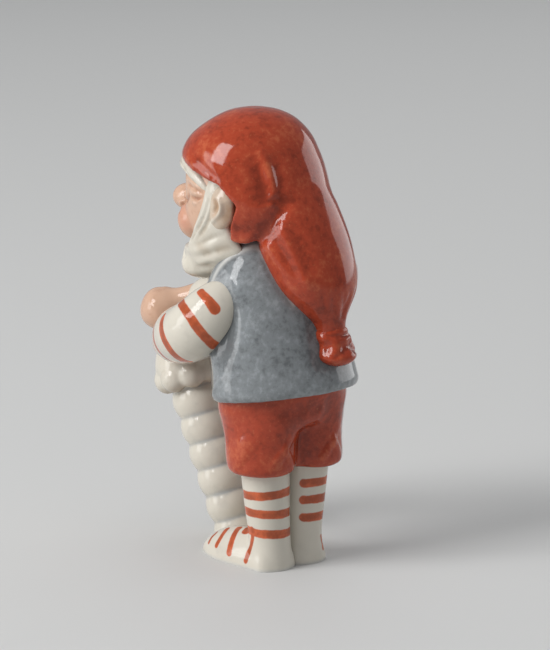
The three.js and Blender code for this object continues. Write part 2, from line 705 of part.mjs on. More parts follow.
// The cone leans from its tip on the floor to where the left hand holds it.
const coneTip = new THREE.Vector3(-CONE_OFFSET, -CONE_REACH, -CONE_TIP_WIDTH * 0.2);
const coneHold = cuffAt(1).add(new THREE.Vector3(-HOLD_OFFSET, -HOLD_REACH, HOLD_RISE));
const coneAxis = new THREE.Vector3().subVectors(coneHold, coneTip).normalize();
const coneLength = coneHold.distanceTo(coneTip) - FRILL_HEIGHT;
const coneTop = coneTip.clone().addScaledVector(coneAxis, coneLength);

// A turned shape set on the cone's axis. Its profile is [radius, distance along the axis] pairs.
function turnedOnCone(profile) {
  const points = profile.map(([radius, along]) => new THREE.Vector2(radius, along));
  const geometry = new THREE.LatheGeometry(points, 20);
  geometry.applyQuaternion(new THREE.Quaternion().setFromUnitVectors(new THREE.Vector3(0, 1, 0), coneAxis));
  geometry.translate(coneTip.x, coneTip.y, coneTip.z);
  return solidOf(geometry);
}

function cone(grow = 0) {
  const profile = [[0, -grow]];
  const stepsPerRib = 3;
  for (let step = 0; step <= RIB_COUNT * stepsPerRib; step++) {
    const share = step / (RIB_COUNT * stepsPerRib);
    const taper = THREE.MathUtils.lerp(CONE_TIP_WIDTH, CONE_TOP_WIDTH, share) / 2;
    const rib = RIB_HEIGHT * Math.abs(Math.sin(Math.PI * share * RIB_COUNT));
    profile.push([taper + rib + grow, share * coneLength - (step === 0 ? grow : 0)]);
  }
  profile.push([CONE_TOP_WIDTH / 2 + grow, coneLength + LAP + grow]);
  profile.push([0, coneLength + LAP + grow]);
  return turnedOnCone(profile);
}

function frill(grow = 0) {
  const lobe = (angle, t) => LOBE_HEIGHT * Math.max(1 - 2 * t, 0) * Math.cos(FRILL_LOBES * angle);
  const place = (share, size) => {
    const at = coneTop.clone().addScaledVector(coneAxis, FRILL_HEIGHT * share - LOBE_HEIGHT);
    return section(at.x, at.y, at.z, FRILL_WIDTH * size, FRILL_WIDTH * size);
  };
  const options = { sides: FRILL_LOBES * 5, steps: 9, roundStart: 0.16, roundEnd: 0.2 };
  return form(
    [place(0.02, 0.86), place(0.18, 0.98), place(0.42, 0.96), place(0.62, 0.88), place(1, 0.78)],
    { ...options, relief: lobe, follow: new THREE.Vector3(0, 1, 0) },
    grow,
  );
}

const frillPiece = () =>
  cut(frill(), cone(SEAM), sleeve(1, SEAM), sleeve(-1, SEAM), hand(1, SEAM), hand(-1, SEAM), tunic(SEAM));

const conePiece = () => cut(cone(), leg(1, SEAM), leg(-1, SEAM), breeches(SEAM), tunic(SEAM), belowFloor);

// Glazes
const glaze = (color) => new THREE.MeshStandardMaterial({ color, roughness: 0.12, metalness: 0 });
const redGlaze = glaze(0xb5432a);
const greyGlaze = glaze(0x8b9096);
const whiteGlaze = glaze(0xdcd8cf);
const fleshGlaze = glaze(0xd9b39a);

const figure = new THREE.Group();

function add(name, solid, material) {
  const mesh = new THREE.Mesh(geometryOf(solid), material);
  mesh.name = name;
  figure.add(mesh);
}

for (const [side, word] of [
  [1, "left"],
  [-1, "right"],
]) {
  add(`${word}_leg`, legPiece(side), whiteGlaze);
  add(`${word}_sleeve`, sleevePiece(side), whiteGlaze);
  add(`${word}_ear`, earPiece(side), fleshGlaze);
  add(`${word}_eyebrow`, browPiece(side), whiteGlaze);
}
add("breeches", breechesPiece(), redGlaze);
add("tunic", tunicPiece(), greyGlaze);
add("left_hand", leftHandPiece(), fleshGlaze);
add("right_hand", rightHandPiece(), fleshGlaze);
add("head", headPiece(), fleshGlaze);
add("beard", beardPiece(), whiteGlaze);
add("cap_crown", crownPiece(), redGlaze);
add("cap_tail", tailPiece(), redGlaze);
add("cap_tassel", tasselPiece(), redGlaze);
add("cone_frill", frillPiece(), whiteGlaze);
add("cone", conePiece(), whiteGlaze);

// The frame's origin is under the middle of the figure, on the floor.
const bounds = new THREE.Box3().setFromObject(figure);
const middle = bounds.getCenter(new THREE.Vector3());
for (const mesh of figure.children) mesh.geometry.translate(-middle.x, -middle.y, -bounds.min.z);

export default figure;
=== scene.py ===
"""A glazed porcelain house gnome that bows over a ribbed cone, dressed around its CAD frame.

Shapes are written in millimetres on the figure's own axes: the floor is z = 0, the middle between
the legs is x = y = 0, the figure faces -Y and its left side is +X. A finished piece is brought to
metres in the frame's place. Folds and painted strokes that the photograph shows are written as spots
of its 550 by 650 view, and a ray through each spot finds its place on the piece.
"""

import math

import bmesh
import bpy
import numpy as np
from bpy.props import FloatProperty, FloatVectorProperty, PointerProperty
from bpy.types import Operator, Panel, PropertyGroup
from mathutils import Matrix, Vector
from mathutils.bvhtree import BVHTree


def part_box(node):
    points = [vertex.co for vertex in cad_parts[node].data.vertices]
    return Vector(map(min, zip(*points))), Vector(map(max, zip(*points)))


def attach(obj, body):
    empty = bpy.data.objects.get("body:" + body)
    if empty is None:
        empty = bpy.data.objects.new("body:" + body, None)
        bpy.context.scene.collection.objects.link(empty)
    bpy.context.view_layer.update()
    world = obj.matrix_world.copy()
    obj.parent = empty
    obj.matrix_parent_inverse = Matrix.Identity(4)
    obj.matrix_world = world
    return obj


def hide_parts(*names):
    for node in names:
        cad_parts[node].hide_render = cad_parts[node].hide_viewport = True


bl_info = {
    "name": "Porcelain Gnome",
    "version": (1, 0, 0),
    "blender": (4, 5, 0),
    "location": "View3D > Sidebar > Gnome",
    "description": "Models and glazes a porcelain gnome around its CAD frame",
    "category": "Add Mesh",
}

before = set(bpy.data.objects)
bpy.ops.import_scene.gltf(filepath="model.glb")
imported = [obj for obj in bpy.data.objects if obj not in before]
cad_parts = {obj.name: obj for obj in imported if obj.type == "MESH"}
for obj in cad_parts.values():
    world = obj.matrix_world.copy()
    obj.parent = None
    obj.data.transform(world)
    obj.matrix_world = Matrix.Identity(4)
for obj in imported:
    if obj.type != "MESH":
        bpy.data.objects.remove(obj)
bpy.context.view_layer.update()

# The figure's axes in the frame
MM = 0.001
CALF_BACK = 6.6  # back of the calf behind the axis of the leg
AXIS_X = (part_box("left_leg")[1].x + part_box("right_leg")[0].x) / 2 / MM
AXIS_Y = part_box("left_leg")[1].y / MM - CALF_BACK
TO_FRAME = Matrix.Scale(MM, 4) @ Matrix.Translation((AXIS_X, AXIS_Y, 0))
LEFT, RIGHT = 1, -1
SIDES = ((LEFT, "left"), (RIGHT, "right"))
UP = Vector((0, 0, 1))
BACKWARD = Vector((0, 1, 0))
FLOOR_CUT = ((0, 0, 0.02), (0, 0, -1))  # point and normal of the plane that flattens a foot

# Heights, and the tip of the hem in degrees
LEG_HEIGHT = 25.8
BREECHES_HEIGHT = 21.2
HEM_Z = LEG_HEIGHT + BREECHES_HEIGHT
HEM_TIP = 8.6
TUNIC_HEIGHT = 37.0
NECK_Z = HEM_Z + TUNIC_HEIGHT
NECK_Y = -10.0

# The head stands on its own axis, turned towards the figure's left
HEAD_TURN = math.radians(14)
HEAD_AT = Vector((0, -11.7, 79.6))
HEAD_POSE = Matrix.Translation(HEAD_AT) @ Matrix.Rotation(HEAD_TURN, 4, "Z")
HEAD_WIDTH = 30.8
HEAD_DEPTH = 33.4
HEAD_HEIGHT = 28.0
FACE_REACH = 4.4
FACE_Y = -FACE_REACH - HEAD_DEPTH / 2


def direction(azimuth, elevation):
    """The way from the figure to a place so many degrees round from its front and so many up."""
    turn, rise = math.radians(azimuth), math.radians(elevation)
    return Vector((math.sin(turn) * math.cos(rise), -math.cos(turn) * math.cos(rise), math.sin(rise)))


# The photograph's view, on the figure's axes
VIEW_WIDTH = 550
VIEW_HEIGHT = 650
VIEW_FOCAL = 3247.0  # pixels
VIEW_DISTANCE = 850.0
VIEW_AIM = Vector((-5.1, -10.1, 61.2))
VIEW_AZIMUTH = 140
VIEW_ELEVATION = 12
VIEW_BACK = direction(VIEW_AZIMUTH, VIEW_ELEVATION)
VIEW_RIGHT = UP.cross(VIEW_BACK).normalized()
VIEW_UP = VIEW_BACK.cross(VIEW_RIGHT)
VIEW_FROM = VIEW_AIM + VIEW_BACK * VIEW_DISTANCE


# Settings

TIMES_USUAL = {"subtype": "FACTOR", "min": 0.0, "max": 2.0}
COLOUR = {"subtype": "COLOR", "min": 0.0, "max": 1.0}
LENGTH = {"unit": "LENGTH", "precision": 4}


class GnomeShape(PropertyGroup):
    """Sizes of the modelled detail."""

    fold_depth: FloatProperty(
        name="Fold depth",
        description="How deep the folds of the clothes are pressed, against their usual depth",
        default=1.0,
        **TIMES_USUAL,
    )
    strand_depth: FloatProperty(
        name="Strand depth",
        description="How deep the strands of the beard are combed, against their usual depth",
        default=1.0,
        **TIMES_USUAL,
    )
    rib_height: FloatProperty(
        name="Rib height",
        description="How far the ribs of the cone swell",
        default=0.9 * MM,
        min=0.0,
        max=2.0 * MM,
        **LENGTH,
    )
    stroke_width: FloatProperty(
        name="Stroke width",
        description="Width of a painted stripe",
        default=2.4 * MM,
        min=0.5 * MM,
        max=4.0 * MM,
        **LENGTH,
    )


class GnomeGlaze(PropertyGroup):
    """Colours of the glazes."""

    red: FloatVectorProperty(
        name="Red", description="Iron red of the cap and the breeches", default=(0.37, 0.05, 0.02), **COLOUR
    )
    grey: FloatVectorProperty(
        name="Grey", description="Blue-grey of the tunic", default=(0.215, 0.23, 0.238), **COLOUR
    )
    white: FloatVectorProperty(
        name="White", description="Bare porcelain", default=(0.62, 0.58, 0.5), **COLOUR
    )
    flesh: FloatVectorProperty(
        name="Flesh", description="Face and hands", default=(0.59, 0.38, 0.27), **COLOUR
    )
    stroke: FloatVectorProperty(
        name="Stroke", description="Painted stripes", default=(0.42, 0.09, 0.035), **COLOUR
    )
    roughness: FloatProperty(
        name="Roughness",
        description="Roughness of the clear glaze",
        subtype="FACTOR",
        default=0.09,
        min=0.02,
        max=0.6,
    )


# Lofted forms

THINNEST = 0.05  # half size of a ring that closes a round end
NUDGE = 0.01  # share of a path over which its heading is taken
BALL_SIDES = 28
BALL_RINGS = 18
CUT_TOLERANCE = 1e-4


def section(x, y, z, width, depth=None, tip=0.0):
    """One cross-section of a form: its middle, its half sizes and how far it is tipped forward.

    It is round unless it has a depth of its own, and the tip is given in degrees."""
    depth = width if depth is None else depth
    return Vector((x, y, z)), Vector((width / 2, depth / 2, math.radians(tip)))


def stacked(rows, z, height, width, depth, y=0.0, swing=1.0):
    """Sections above each other, from y and z on.

    A row has its share of the height, of the swing, of the width and, where it differs, of the depth."""
    sections = []
    for rise, back, wide, *deep in rows:
        deep = deep[0] if deep else wide
        sections.append(section(0, y + swing * back, z + height * rise, width * wide, depth * deep))
    return sections


def spline(points, share):
    """The point at a share of a smooth curve through the points."""
    last = len(points) - 1
    place = min(max(share, 0.0), 1.0) * last
    index = min(int(place), last - 1)
    t = place - index
    here, there = points[index], points[index + 1]
    before = points[index - 1] if index > 0 else here * 2 - there
    after = points[index + 2] if index + 2 <= last else there * 2 - here
    bend = before * 2 - here * 5 + there * 4 - after
    twist = here * 3 - before - there * 3 + after
    return (here * 2 + (there - before) * t + bend * t**2 + twist * t**3) / 2


def eased(share, round_start, round_end):
    """Steps crowd towards the round ends, where a form turns fastest."""
    if round_start and round_end:
        return (1 - math.cos(math.pi * share)) / 2
    if round_start:
        return 1 - math.sin(math.pi / 2 * (1 - share))
    if round_end:
        return math.sin(math.pi / 2 * share)
    return share


def closing(share, round_start, round_end):
    """How far a form has closed in: 1 along its length, 0 at a round end."""
    start = min(share / round_start, 1) if round_start else 1
    end = min((1 - share) / round_end, 1) if round_end else 1
    return math.sqrt(max(1 - (1 - start) ** 2, 0)) * math.sqrt(max(1 - (1 - end) ** 2, 0))


def loft(bm, sections, sides=40, steps=36, round_start=0.0, round_end=0.0, follow=None, pose=None):
    """Adds a closed skin through the sections, ring by ring.

    With a follow direction the rings stand square to the path, and otherwise they lie level or tipped."""
    middles = [middle for middle, _ in sections]
    sizes = [size for _, size in sections]
    last_place = None
    for step in range(steps + 1):
        share = eased(step / steps, round_start, round_end)
        shrink = closing(share, round_start, round_end)
        middle, size = spline(middles, share), spline(sizes, share)
        across = Vector((1, 0, 0))
        over = Vector((0, math.cos(size.z), math.sin(size.z)))
        along = across.cross(over)
        if follow:
            along = (spline(middles, share + NUDGE) - spline(middles, share - NUDGE)).normalized()
            across = follow.cross(along).normalized()
            over = along.cross(across)
        across = across * max(size.x * shrink, THINNEST)
        over = over * max(size.y * shrink, THINNEST)
        place = Matrix((across, over, along)).transposed().to_4x4()
        place.translation = middle
        if pose:
            place = pose @ place
        if step == 0:
            made = bmesh.ops.create_circle(bm, cap_ends=True, segments=sides, radius=1, matrix=place)
            ring = made["verts"]
        else:
            grown = bmesh.ops.extrude_edge_only(bm, edges=ring_edges)["geom"]
            ring = [part for part in grown if isinstance(part, bmesh.types.BMVert)]
            bmesh.ops.transform(bm, matrix=place @ last_place.inverted(), verts=ring)
        inside = set(ring)
        ring_edges = list({e for v in ring for e in v.link_edges if e.other_vert(v) in inside})
        last_place = place
    bmesh.ops.contextual_create(bm, geom=ring_edges)


def ball(bm, x, y, z, width, depth, height, pose):
    """Adds a ball of three sizes to a posed form."""
    place = Matrix.Translation((x, y, z)) @ Matrix.Diagonal((width / 2, depth / 2, height / 2, 1))
    bmesh.ops.create_uvsphere(
        bm, u_segments=BALL_SIDES, v_segments=BALL_RINGS, radius=1, matrix=pose @ place
    )


def cut_away(bm, point, normal, pose=None):
    """Cuts off what lies beyond a plane and closes the cut."""
    point, normal = Vector(point), Vector(normal)
    if pose:
        point, normal = pose @ point, pose.to_3x3() @ normal
    geom = bm.verts[:] + bm.edges[:] + bm.faces[:]
    cut = bmesh.ops.bisect_plane(
        bm, geom=geom, dist=CUT_TOLERANCE, plane_co=point, plane_no=normal, clear_outer=True
    )
    rim = [part for part in cut["geom_cut"] if isinstance(part, bmesh.types.BMEdge)]
    bmesh.ops.triangle_fill(bm, use_beauty=True, edges=rim)


def take_in(bm, other):
    """Adds another bmesh to this one."""
    passing = bpy.data.meshes.new("passing")
    other.to_mesh(passing)
    other.free()
    bm.from_mesh(passing)
    bpy.data.meshes.remove(passing)


# Clay: a fine skin that is pushed about point by point

UNPAINTED = -9.0  # paint of a point far outside every stroke
END_FADE = 0.6  # how far in from its ends a ridge or a crease fades
IN_FRONT = 60  # where a ray towards the face starts, before the axis of the head
SHARP_ANGLE = math.radians(55)


def nearest_on(path, points):
    """How far each point is from a path of one or more spots, and the share of it that lies beside."""
    path = [np.array(spot) for spot in path]
    runs = list(zip(path, path[1:]))
    if not runs:
        return np.linalg.norm(points - path[0], axis=1), np.full(len(points), 0.5)
    nearest = np.full(len(points), np.inf)
    beside = np.zeros(len(points))
    for index, (start, end) in enumerate(runs):
        run = end - start
        share = np.clip((points - start) @ run / max(run @ run, 1e-9), 0, 1)
        gap = points - start - share[:, None] * run
        gap = np.einsum("ij,ij->i", gap, gap)
        closer = gap < nearest
        nearest[closer] = gap[closer]
        beside[closer] = (index + share[closer]) / len(runs)
    return np.sqrt(nearest), beside


def falloff(distance, width):
    """1 where the distance is 0, fading softly to 0 beyond the width."""
    return np.exp(-((distance / width) ** 2))


def smooth_path(spots, count=16):
    """More spots along a smooth curve through a few."""
    spots = [Vector(spot) for spot in spots]
    if len(spots) < 3:
        return spots
    return [spline(spots, step / (count - 1)) for step in range(count)]


def mirrored(path, pose=None):
    """A path on the other side of the figure, or of a posed axis."""
    pose = pose or Matrix.Identity(4)
    flip = pose @ Matrix.Diagonal((-1, 1, 1, 1)) @ pose.inverted()
    return [flip @ Vector(spot) for spot in path]


class Clay:
    """One even, soft skin over closed forms.

    tone is above 0 where the glaze runs thin over a ridge and below 0 where it pools in a crease, and in
    the cleft of the breeches it also holds painted shade.
    paint is how far a point lies inside a painted stroke, in millimetres, and tint is a local colour:
    stains, a darkening of the feet towards their soles, and a painted highlight on the tunic's edge."""

    def __init__(self, bm, voxel, softness):
        bmesh.ops.recalc_face_normals(bm, faces=bm.faces)
        forms = bpy.data.meshes.new("forms")
        bm.to_mesh(forms)
        bm.free()
        rough = bpy.data.objects.new("rough", forms)
        bpy.context.scene.collection.objects.link(rough)
        skin = rough.modifiers.new("Even skin", "REMESH")
        skin.mode = "VOXEL"
        skin.voxel_size = voxel
        soften = rough.modifiers.new("Soften", "SMOOTH")
        soften.factor = 0.5
        soften.iterations = softness
        bpy.context.view_layer.update()
        depsgraph = bpy.context.evaluated_depsgraph_get()
        self.mesh = bpy.data.meshes.new_from_object(rough.evaluated_get(depsgraph))
        bpy.data.objects.remove(rough)
        bpy.data.meshes.remove(forms)
        self.read()
        count = len(self.points)
        self.tone = np.zeros(count)
        self.paint = np.full(count, UNPAINTED)
        self.tint = np.zeros(count)

    def read(self):
        """Reads the points, their normals and a search tree from the mesh."""
        count = len(self.mesh.vertices)
        self.points, self.normals = np.empty((count, 3)), np.empty((count, 3))
        self.mesh.vertices.foreach_get("co", self.points.ravel())
        self.mesh.vertices.foreach_get("normal", self.normals.ravel())
        self.tree = BVHTree.FromPolygons(
            [Vector(point) for point in self.points], [face.vertices[:] for face in self.mesh.polygons]
        )

    def seen(self, spots):
        """Where spots of the photograph's view fall on the skin, or pass nearest to it."""
        found = []
        for across, down in spots:
            ray = VIEW_RIGHT * (across - VIEW_WIDTH / 2) - VIEW_UP * (down - VIEW_HEIGHT / 2)
            ray = (ray - VIEW_BACK * VIEW_FOCAL).normalized()
            hit = self.tree.ray_cast(VIEW_FROM, ray)[0]
            if hit is None:
                reach = (self.points.mean(axis=0) - np.array(VIEW_FROM)) @ np.array(ray)
                hit = self.tree.find_nearest(VIEW_FROM + ray * reach)[0]
            found.append(hit)
        return found

    def ahead(self, spots):
        """Where spots across and up the front of the head fall on the skin."""
        along = HEAD_POSE.to_3x3() @ BACKWARD
        return [self.tree.ray_cast(HEAD_POSE @ Vector((x, -IN_FRONT, z)), along)[0] for x, z in spots]

    def on(self, spots):
        """The nearest places on the skin."""
        return [self.tree.find_nearest(Vector(spot))[0] for spot in spots]

    def both(self, path, pose=None):
        """A path and its mirror image on the skin."""
        return path, self.on(mirrored(path, pose))

    def press(self, path, width, height, tone=1.0, fade=END_FADE):
        """Raises a ridge along a path, or presses a crease where the height is below 0.

        It fades at both ends of the path, unless the fade is 0."""
        distance, beside = nearest_on(path, self.points)
        amount = height * np.sin(np.pi * beside) ** fade * falloff(distance, width)
        self.points += self.normals * amount[:, None]
        self.tone += amount * tone

    def stroke(self, path, width, taper=0.0):
        """Paints a stroke along a path. The taper is the share of the width that its start lacks."""
        distance, beside = nearest_on(path, self.points)
        self.paint = np.maximum(self.paint, width / 2 * (1 - taper * (1 - beside)) - distance)

    def stain_and_light(self, path, width, amount):
        """Tints the skin softly along a path: a stain, and on the tunic's edge a painted highlight."""
        self.tint += amount * falloff(nearest_on(path, self.points)[0], width)

    def soften(self, path, width, rounds):
        """Smooths the skin along a path."""
        count = len(self.points)
        ends = np.empty(len(self.mesh.edges) * 2, dtype=np.int32)
        self.mesh.edges.foreach_get("vertices", ends)
        first, second = ends.reshape(-1, 2).T
        links = np.bincount(ends, minlength=count)
        share = 0.5 * falloff(nearest_on(path, self.points)[0], width)
        for _ in range(rounds):
            for axis in range(3):
                place = self.points[:, axis].copy()
                total = np.bincount(first, place[second], count) + np.bincount(second, place[first], count)
                self.points[:, axis] += share * (total / links - place)
        self.write()
        self.read()

    def write(self):
        """Writes the points and what they carry back to the mesh."""
        self.mesh.vertices.foreach_set("co", self.points.ravel())
        carried = {"tone": self.tone, "paint": self.paint, "tint": np.clip(self.tint, 0, 1)}
        for name, values in carried.items():
            layer = self.mesh.attributes.get(name) or self.mesh.attributes.new(name, "FLOAT", "POINT")
            layer.data.foreach_set("value", values.astype(np.float32))
        self.mesh.update()
        return self.mesh


def seen_marks(clay, rows):
    """Marks whose rows start with spots of the view, with paths on the skin in place of the spots."""
    return [(smooth_path(clay.seen(spots)), *rest) for spots, *rest in rows]


def far_marks(clay, marks, pose=None):
    """The same marks on the other side of the figure, or of a posed axis."""
    return [(clay.on(mirrored(path, pose)), *rest) for path, *rest in marks]


def fold(clay, rows, depth, pose=None, far=1.0):
    """Presses folds that the view shows, and a share of their depth on the far side.

    Each row holds a fold's spots in the view, its width and its height."""
    marks = seen_marks(clay, rows)
    others = far_marks(clay, marks, pose)
    for folds, share in ((marks, depth), (others, depth * far)):
        for path, width, height in folds:
            clay.press(path, width, height * share)


def add_piece(clay, name, nodes, material, cuts=()):
    """Finishes a piece: cuts it flat, brings it to the frame, hangs it on the root and hides the CAD parts
    it takes the place of.
    """
    mesh = clay.write()
    mesh.name = name
    bm = bmesh.new()
    bm.from_mesh(mesh)
    for point, normal in cuts:
        cut_away(bm, point, normal)
    bmesh.ops.transform(bm, matrix=TO_FRAME, verts=bm.verts)
    for face in bm.faces:
        face.smooth = True
    bm.to_mesh(mesh)
    bm.free()
    if cuts:
        mesh.set_sharp_from_angle(angle=SHARP_ANGLE)
    mesh.materials.clear()
    mesh.materials.append(material)
    piece = bpy.data.objects.new(name, mesh)
    bpy.context.scene.collection.objects.link(piece)
    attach(piece, "root")
    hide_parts(*nodes)
    return piece


# Glazes

BROAD_SCALE, BROAD_SHARE = 0.22, 0.7  # broad clouds, against the mottle over them
CLOUD_MIDDLE, CLOUD_SPREAD = 0.85, 1.8
SPECK_SCALE = 2.4
WAVER_SCALE, WET_SCALE = 420.0, 300.0
RIPPLE_SCALE, RIPPLE_STRENGTH, RIPPLE_HEIGHT = 260.0, 0.04, 0.0004
SHINE = 0.36
FAINT_CLOUDS = {"size": 240, "depth": 0.25, "run": 0.5}
SOFT_CLOUDS = {"size": 320, "depth": 0.3, "run": 0.5}


def feed(tree, socket, value):
    """Gives a socket its value: another socket, a colour or a number."""
    if isinstance(value, bpy.types.NodeSocket):
        tree.links.new(value, socket)
    elif socket.type == "RGBA":
        socket.default_value = (*value, 1)
    else:
        socket.default_value = value


def new_group(name, inputs, outputs):
    """An empty shader node group with its sockets, and its input and output nodes."""
    group = bpy.data.node_groups.new(name, "ShaderNodeTree")
    for label, default in inputs:
        socket = group.interface.new_socket(label, in_out="INPUT", socket_type="NodeSocketFloat")
        socket.default_value = default
    for label in outputs:
        group.interface.new_socket(label, in_out="OUTPUT", socket_type="NodeSocketFloat")
    return group, group.nodes.new("NodeGroupInput"), group.nodes.new("NodeGroupOutput")


def place_group(tree, group, **values):
    """Places a node group with its values, each a socket or a number."""
    node = tree.nodes.new("ShaderNodeGroup")
    node.node_tree = group
    for label, value in values.items():
        feed(tree, node.inputs[label], value)
    return node


def math_node(tree, operation, first, second):
    """A Math node on two values, each a socket or a number."""
    node = tree.nodes.new("ShaderNodeMath")
    node.operation = operation
    feed(tree, node.inputs[0], first)
    feed(tree, node.inputs[1], second)
    return node.outputs["Value"]


def ranged(tree, value, low, high):
    """A value's share of the way from low to high, held between 0 and 1."""
    node = tree.nodes.new("ShaderNodeMapRange")
    node.interpolation_type = "SMOOTHSTEP"
    feed(tree, node.inputs["Value"], value)
    feed(tree, node.inputs["From Min"], low)
    feed(tree, node.inputs["From Max"], high)
    return node.outputs["Result"]


def noise(tree, scale, detail, rough):
    """Noise in the figure's own space. The scale is a number or a socket."""
    place = tree.nodes.new("ShaderNodeTexCoord")
    node = tree.nodes.new("ShaderNodeTexNoise")
    feed(tree, node.inputs["Vector"], place.outputs["Object"])
    feed(tree, node.inputs["Scale"], scale)
    feed(tree, node.inputs["Detail"], detail)
    feed(tree, node.inputs["Roughness"], rough)
    return node.outputs["Fac"]


def attribute(tree, name):
    """A value that a piece carries on its points."""
    node = tree.nodes.new("ShaderNodeAttribute")
    node.attribute_name = name
    return node.outputs["Fac"]


def blended(tree, share, first, second):
    """A mix of two colours, each a socket or a colour."""
    node = tree.nodes.new("ShaderNodeMix")
    node.data_type = "RGBA"
    feed(tree, node.inputs["Factor"], share)
    sockets = [socket for socket in node.inputs if socket.type == "RGBA"]
    for socket, colour in zip(sockets, (first, second)):
        feed(tree, socket, colour)
    return next(socket for socket in node.outputs if socket.type == "RGBA")


def cloud_group():
    """Underglaze clouds: how thin the colour lies, with specks where the pigment gathers."""
    name = "Underglaze clouds"
    if name in bpy.data.node_groups:
        return bpy.data.node_groups[name]
    inputs = (("Size", 500.0), ("Depth", 0.5), ("Tone", 0.0), ("Run", 0.5))
    group, given, made = new_group(name, inputs, ("Thin", "Specks"))
    size, depth = given.outputs["Size"], given.outputs["Depth"]
    broad = noise(group, math_node(group, "MULTIPLY", size, BROAD_SCALE), detail=2.0, rough=0.5)
    broad = math_node(group, "MULTIPLY", broad, BROAD_SHARE)
    mottle = noise(group, size, detail=4.0, rough=0.62)
    both = math_node(group, "SUBTRACT", math_node(group, "ADD", broad, mottle), CLOUD_MIDDLE)
    clouds = math_node(group, "MULTIPLY", both, math_node(group, "MULTIPLY", depth, CLOUD_SPREAD))
    run = math_node(group, "MULTIPLY", given.outputs["Tone"], given.outputs["Run"])
    thin = math_node(group, "ADD", math_node(group, "ADD", clouds, run), 0.5)
    feed(group, made.inputs["Thin"], ranged(group, thin, 0.0, 1.0))
    fine = noise(group, math_node(group, "MULTIPLY", size, SPECK_SCALE), detail=2.0, rough=0.5)
    feed(group, made.inputs["Specks"], ranged(group, fine, 0.6, 0.78))
    return group


def stroke_group():
    """A brush stroke: its wavering edge, and how wet the brush was."""
    name = "Brush stroke"
    if name in bpy.data.node_groups:
        return bpy.data.node_groups[name]
    group, given, made = new_group(name, (("Inside", UNPAINTED), ("Waver", 0.5)), ("Mask", "Wet"))
    inside = given.outputs["Inside"]
    waver = noise(group, WAVER_SCALE, detail=3.0, rough=0.6)
    waver = math_node(group, "SUBTRACT", waver, 0.5)
    waver = math_node(group, "MULTIPLY", waver, given.outputs["Waver"])
    edge = math_node(group, "ADD", inside, waver)
    feed(group, made.inputs["Mask"], ranged(group, edge, -0.16, 0.2))
    pooled = math_node(group, "MULTIPLY", inside, -0.12)
    wet = math_node(group, "ADD", noise(group, WET_SCALE, detail=4.0, rough=0.65), pooled)
    feed(group, made.inputs["Wet"], ranged(group, wet, 0.3, 0.7))
    return group


def shade(colour, by):
    """A colour made lighter or darker."""
    return tuple(min(part * by, 1.0) for part in colour)


def glaze(name, deep, base, thin, tint, size, depth, run, specks=0.0, speck=None, strokes=None):
    """A mottled underglaze colour beneath a clear glaze.

    deep is the colour where it pools, thin where it runs off a ridge, and tint where a piece is
    stained, where the feet darken towards their soles, and where a highlight is painted along the
    tunic's edge. size and depth are those of the clouds, and run is how far the glaze runs off ridges.
    specks is how strongly specks of the colour speck show, and strokes colours the painted strokes."""
    if name in bpy.data.materials:
        return bpy.data.materials[name]
    material = bpy.data.materials.new(name)
    material.use_nodes = True
    tree = material.node_tree
    shader = tree.nodes["Principled BSDF"]
    tone = attribute(tree, "tone")
    clouds = place_group(tree, cloud_group(), Size=size, Depth=depth, Tone=tone, Run=run)
    lower = ranged(tree, clouds.outputs["Thin"], 0.0, 0.5)
    upper = ranged(tree, clouds.outputs["Thin"], 0.5, 1.0)
    colour = blended(tree, upper, blended(tree, lower, deep, base), thin)
    if specks:
        spots = math_node(tree, "MULTIPLY", clouds.outputs["Specks"], specks)
        colour = blended(tree, spots, colour, speck)
    colour = blended(tree, attribute(tree, "tint"), colour, tint)
    if strokes:
        brush = place_group(tree, stroke_group(), Inside=attribute(tree, "paint"), Waver=0.5)
        ink = blended(tree, brush.outputs["Wet"], shade(strokes, 0.85), shade(strokes, 1.45))
        colour = blended(tree, brush.outputs["Mask"], colour, ink)
    feed(tree, shader.inputs["Base Color"], colour)
    ripple = tree.nodes.new("ShaderNodeBump")
    ripple.inputs["Strength"].default_value = RIPPLE_STRENGTH
    ripple.inputs["Distance"].default_value = RIPPLE_HEIGHT
    feed(tree, ripple.inputs["Height"], noise(tree, RIPPLE_SCALE, detail=2.0, rough=0.55))
    feed(tree, shader.inputs["Normal"], ripple.outputs["Normal"])
    shader.inputs["Roughness"].default_value = bpy.context.scene.gnome_glaze.roughness
    shader.inputs["Specular IOR Level"].default_value = SHINE
    return material


def red_glaze():
    """The cap and the breeches, with lighter specks."""
    red = tuple(bpy.context.scene.gnome_glaze.red)
    thin = (0.47, 0.1, 0.042)
    tint = (0.6, 0.36, 0.27)
    clouds = {"size": 640, "depth": 0.6, "run": 0.3, "specks": 0.4, "speck": (0.5, 0.14, 0.06)}
    return glaze("Red glaze", shade(red, 0.62), red, thin, tint, **clouds)


def grey_glaze():
    """The tunic, with darker specks and a painted highlight along its edge."""
    grey = tuple(bpy.context.scene.gnome_glaze.grey)
    # The tint is a painted highlight, laid along the tunic's armhole and collar
    tint = (0.6, 0.59, 0.56)
    clouds = {"size": 640, "depth": 0.7, "run": 0.3, "specks": 0.35, "speck": shade(grey, 0.4)}
    return glaze("Grey glaze", shade(grey, 0.6), grey, shade(grey, 1.4), tint, **clouds)


def white_glaze():
    """The cone, grey-blue in its creases."""
    white = tuple(bpy.context.scene.gnome_glaze.white)
    thin = shade(white, 1.06)
    tint = (0.33, 0.37, 0.4)
    return glaze("White glaze", (0.4, 0.39, 0.36), white, thin, tint, **FAINT_CLOUDS)


def beard_glaze():
    """The hair and the frill, brown in their creases."""
    white = tuple(bpy.context.scene.gnome_glaze.white)
    thin = shade(white, 1.08)
    tint = (0.4, 0.3, 0.2)
    return glaze("Beard glaze", (0.42, 0.36, 0.28), white, thin, tint, **SOFT_CLOUDS)


